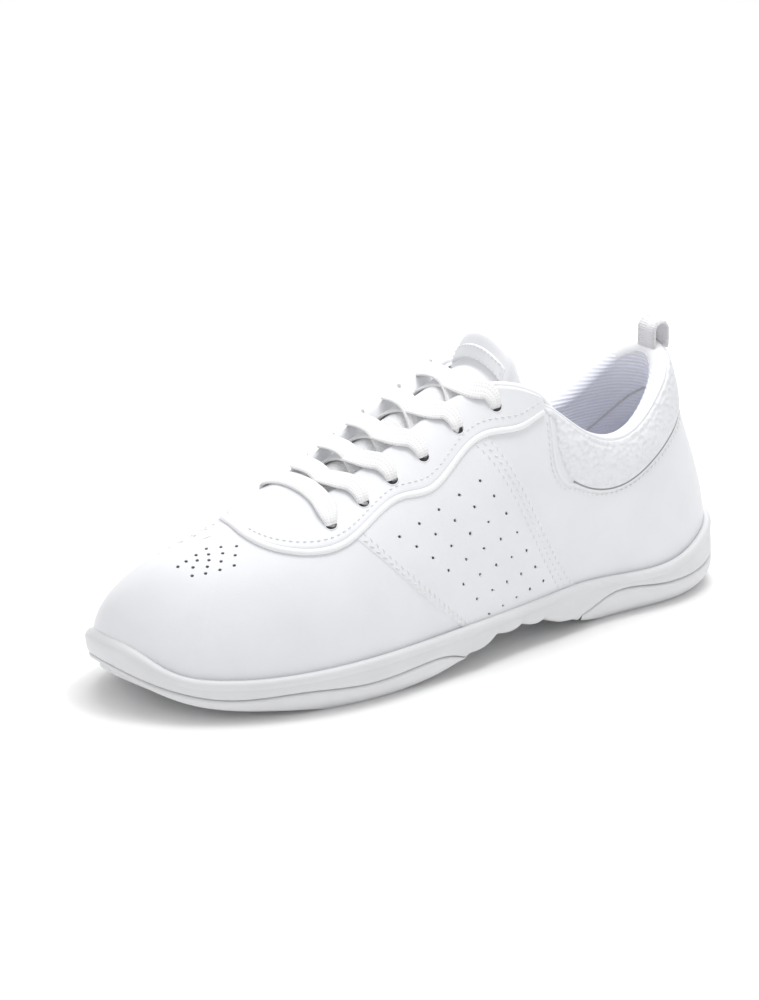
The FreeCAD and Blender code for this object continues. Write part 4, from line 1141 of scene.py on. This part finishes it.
def build_pull_loop():
    """Webbing loop that stands on the collar's rim, its two ends turned out round it."""
    pivot = np.array(JOINTS["pull_loop_fold"]["pos_m"]) * 1000
    rim = 4.1
    half, thick, top = 3.25, 1.3, rim + 8.8 - 0.65
    left = [(-2.75, 2.1), (-3.05, 3.0), (-3.2, 4.2), (-half, 6.2), (-half, 7.8)]
    arch = [(-half * math.cos(a), top - half + half * math.sin(a))
            for a in np.linspace(0.12, math.pi - 0.12, 11)]
    right = [(-x, z) for x, z in left[::-1]]
    flat = np.array(left + arch + right)
    pts = np.stack([flat[:, 0], 0 * flat[:, 0] + LOOP_SHIFT, flat[:, 1]], -1) + pivot
    path, _ = resample(pts, np.zeros((len(pts), 1)), 0.35)
    tangent = unit(np.gradient(path, axis=0))
    up = np.cross(tangent, [0, 1.0, 0])
    verts, faces = sweep(path, up, ellipse(10.0, thick, 26, 5.0))
    run = np.concatenate([[0], np.cumsum(np.linalg.norm(np.diff(path, axis=0), axis=1))])
    side = np.concatenate([np.linspace(0, 10, 13), np.linspace(10, 0, 13)])
    uv = np.stack(np.broadcast_arrays(run[:, None], side[None]), -1).reshape(-1, 2)
    ob = make("pull_loop", verts, faces, tape_mat, uv)
    outward_normals(ob)
    finish_piece(ob, "pull_loop", ["pull_loop"])
    for k, y in enumerate((-4.0, 4.0)):
        line = path[8:-8] + np.array([0, y, 0])
        ups = up[8:-8]
        side = 1 if ((line + ups - pivot) ** 2).sum() > ((line - ups - pivot) ** 2).sum() else -1
        row = stitches("pull_loop_stitches_%d" % (k + 1), line + ups * side * (thick / 2), ups * side,
                       1.5, 0.8, 0.4, 0, 0.05)
        finish_piece(row, "pull_loop")


build_vamp()
build_panels()
build_eyestay()
build_collar()
build_front_lining()
build_sole()
build_tongue()
build_lace()
build_pull_loop()

# ------------------------------------------------------------------ carried-over CAD nodes
for node, mat in (("lasting_board", board_mat), ("collar_foam", pad_mat), ("heel_counter", stiff_mat),
                  ("toe_puff", stiff_mat), ("aglet_lateral", film_mat), ("aglet_medial", film_mat)):
    ob = frame["nodes"][node]
    if not ob.material_slots:
        ob.data.materials.append(mat)
    for s in ob.material_slots:
        s.material = mat

# ------------------------------------------------------------------ floor, light, camera
floor_mat = material("studio_floor", (0.93, 0.93, 0.93), 0.9, [("grain", 4.0, 0.01)], tint=0.002)
x = np.linspace(-3, 3, 25)
X, Y = np.meshgrid(x, x, indexing="ij")
Z = np.where(Y < -1.6, ((-1.6 - Y) / 1.4) ** 2 * 1.6, 0) * 1000
ground = np.stack([X * 1000, Y * 1000, Z], -1).reshape(-1, 3)
floor = make("studio_ground", ground, grid_faces(25, 25), floor_mat)

world = bpy.data.worlds.new("studio")
bpy.context.scene.world = world
world.use_nodes = True
world.node_tree.nodes["Background"].inputs["Color"].default_value = (1.0, 1.0, 1.0, 1)
world.node_tree.nodes["Background"].inputs["Strength"].default_value = 0.68


def area_light(name, at, target, size, power):
    data = bpy.data.lights.new(name, "AREA")
    data.shape = "RECTANGLE"
    data.size, data.size_y = size
    data.energy = power
    ob = bpy.data.objects.new(name, data)
    bpy.context.collection.objects.link(ob)
    ob.location = at
    ob.rotation_euler = (Vector(target) - Vector(at)).to_track_quat("-Z", "Y").to_euler()


area_light("key", (-0.20, -0.15, 1.25), (-0.03, 0, 0.03), (1.0, 1.0), 7.2)
area_light("back", (-0.5, -0.9, 0.7), (0, 0, 0.05), (0.8, 0.5), 3.2)
area_light("front", (0.9, 0.5, 0.35), (0, 0, 0.05), (0.5, 0.4), 0.4)
area_light("side", (-0.45, 0.95, 0.45), (-0.05, 0, 0.05), (0.5, 0.4), 0.1)
area_light("fill", (-0.07, 0.05, 0.50), (-0.05, 0, 0.07), (0.14, 0.14), 0.55)

cam = bpy.data.cameras.new("camera")
cam.sensor_fit = "HORIZONTAL"
cam.sensor_width = 36.0
cam.lens = 185.5
view = bpy.data.objects.new("camera", cam)
bpy.context.collection.objects.link(view)
view.location = (0.80795, 1.0900, 0.5266)
view.rotation_euler = (Vector((0.0181, 0, 0.0569)) - view.location).to_track_quat("-Z", "Y").to_euler()
bpy.context.scene.camera = view
bpy.context.scene.view_settings.view_transform = "Standard"
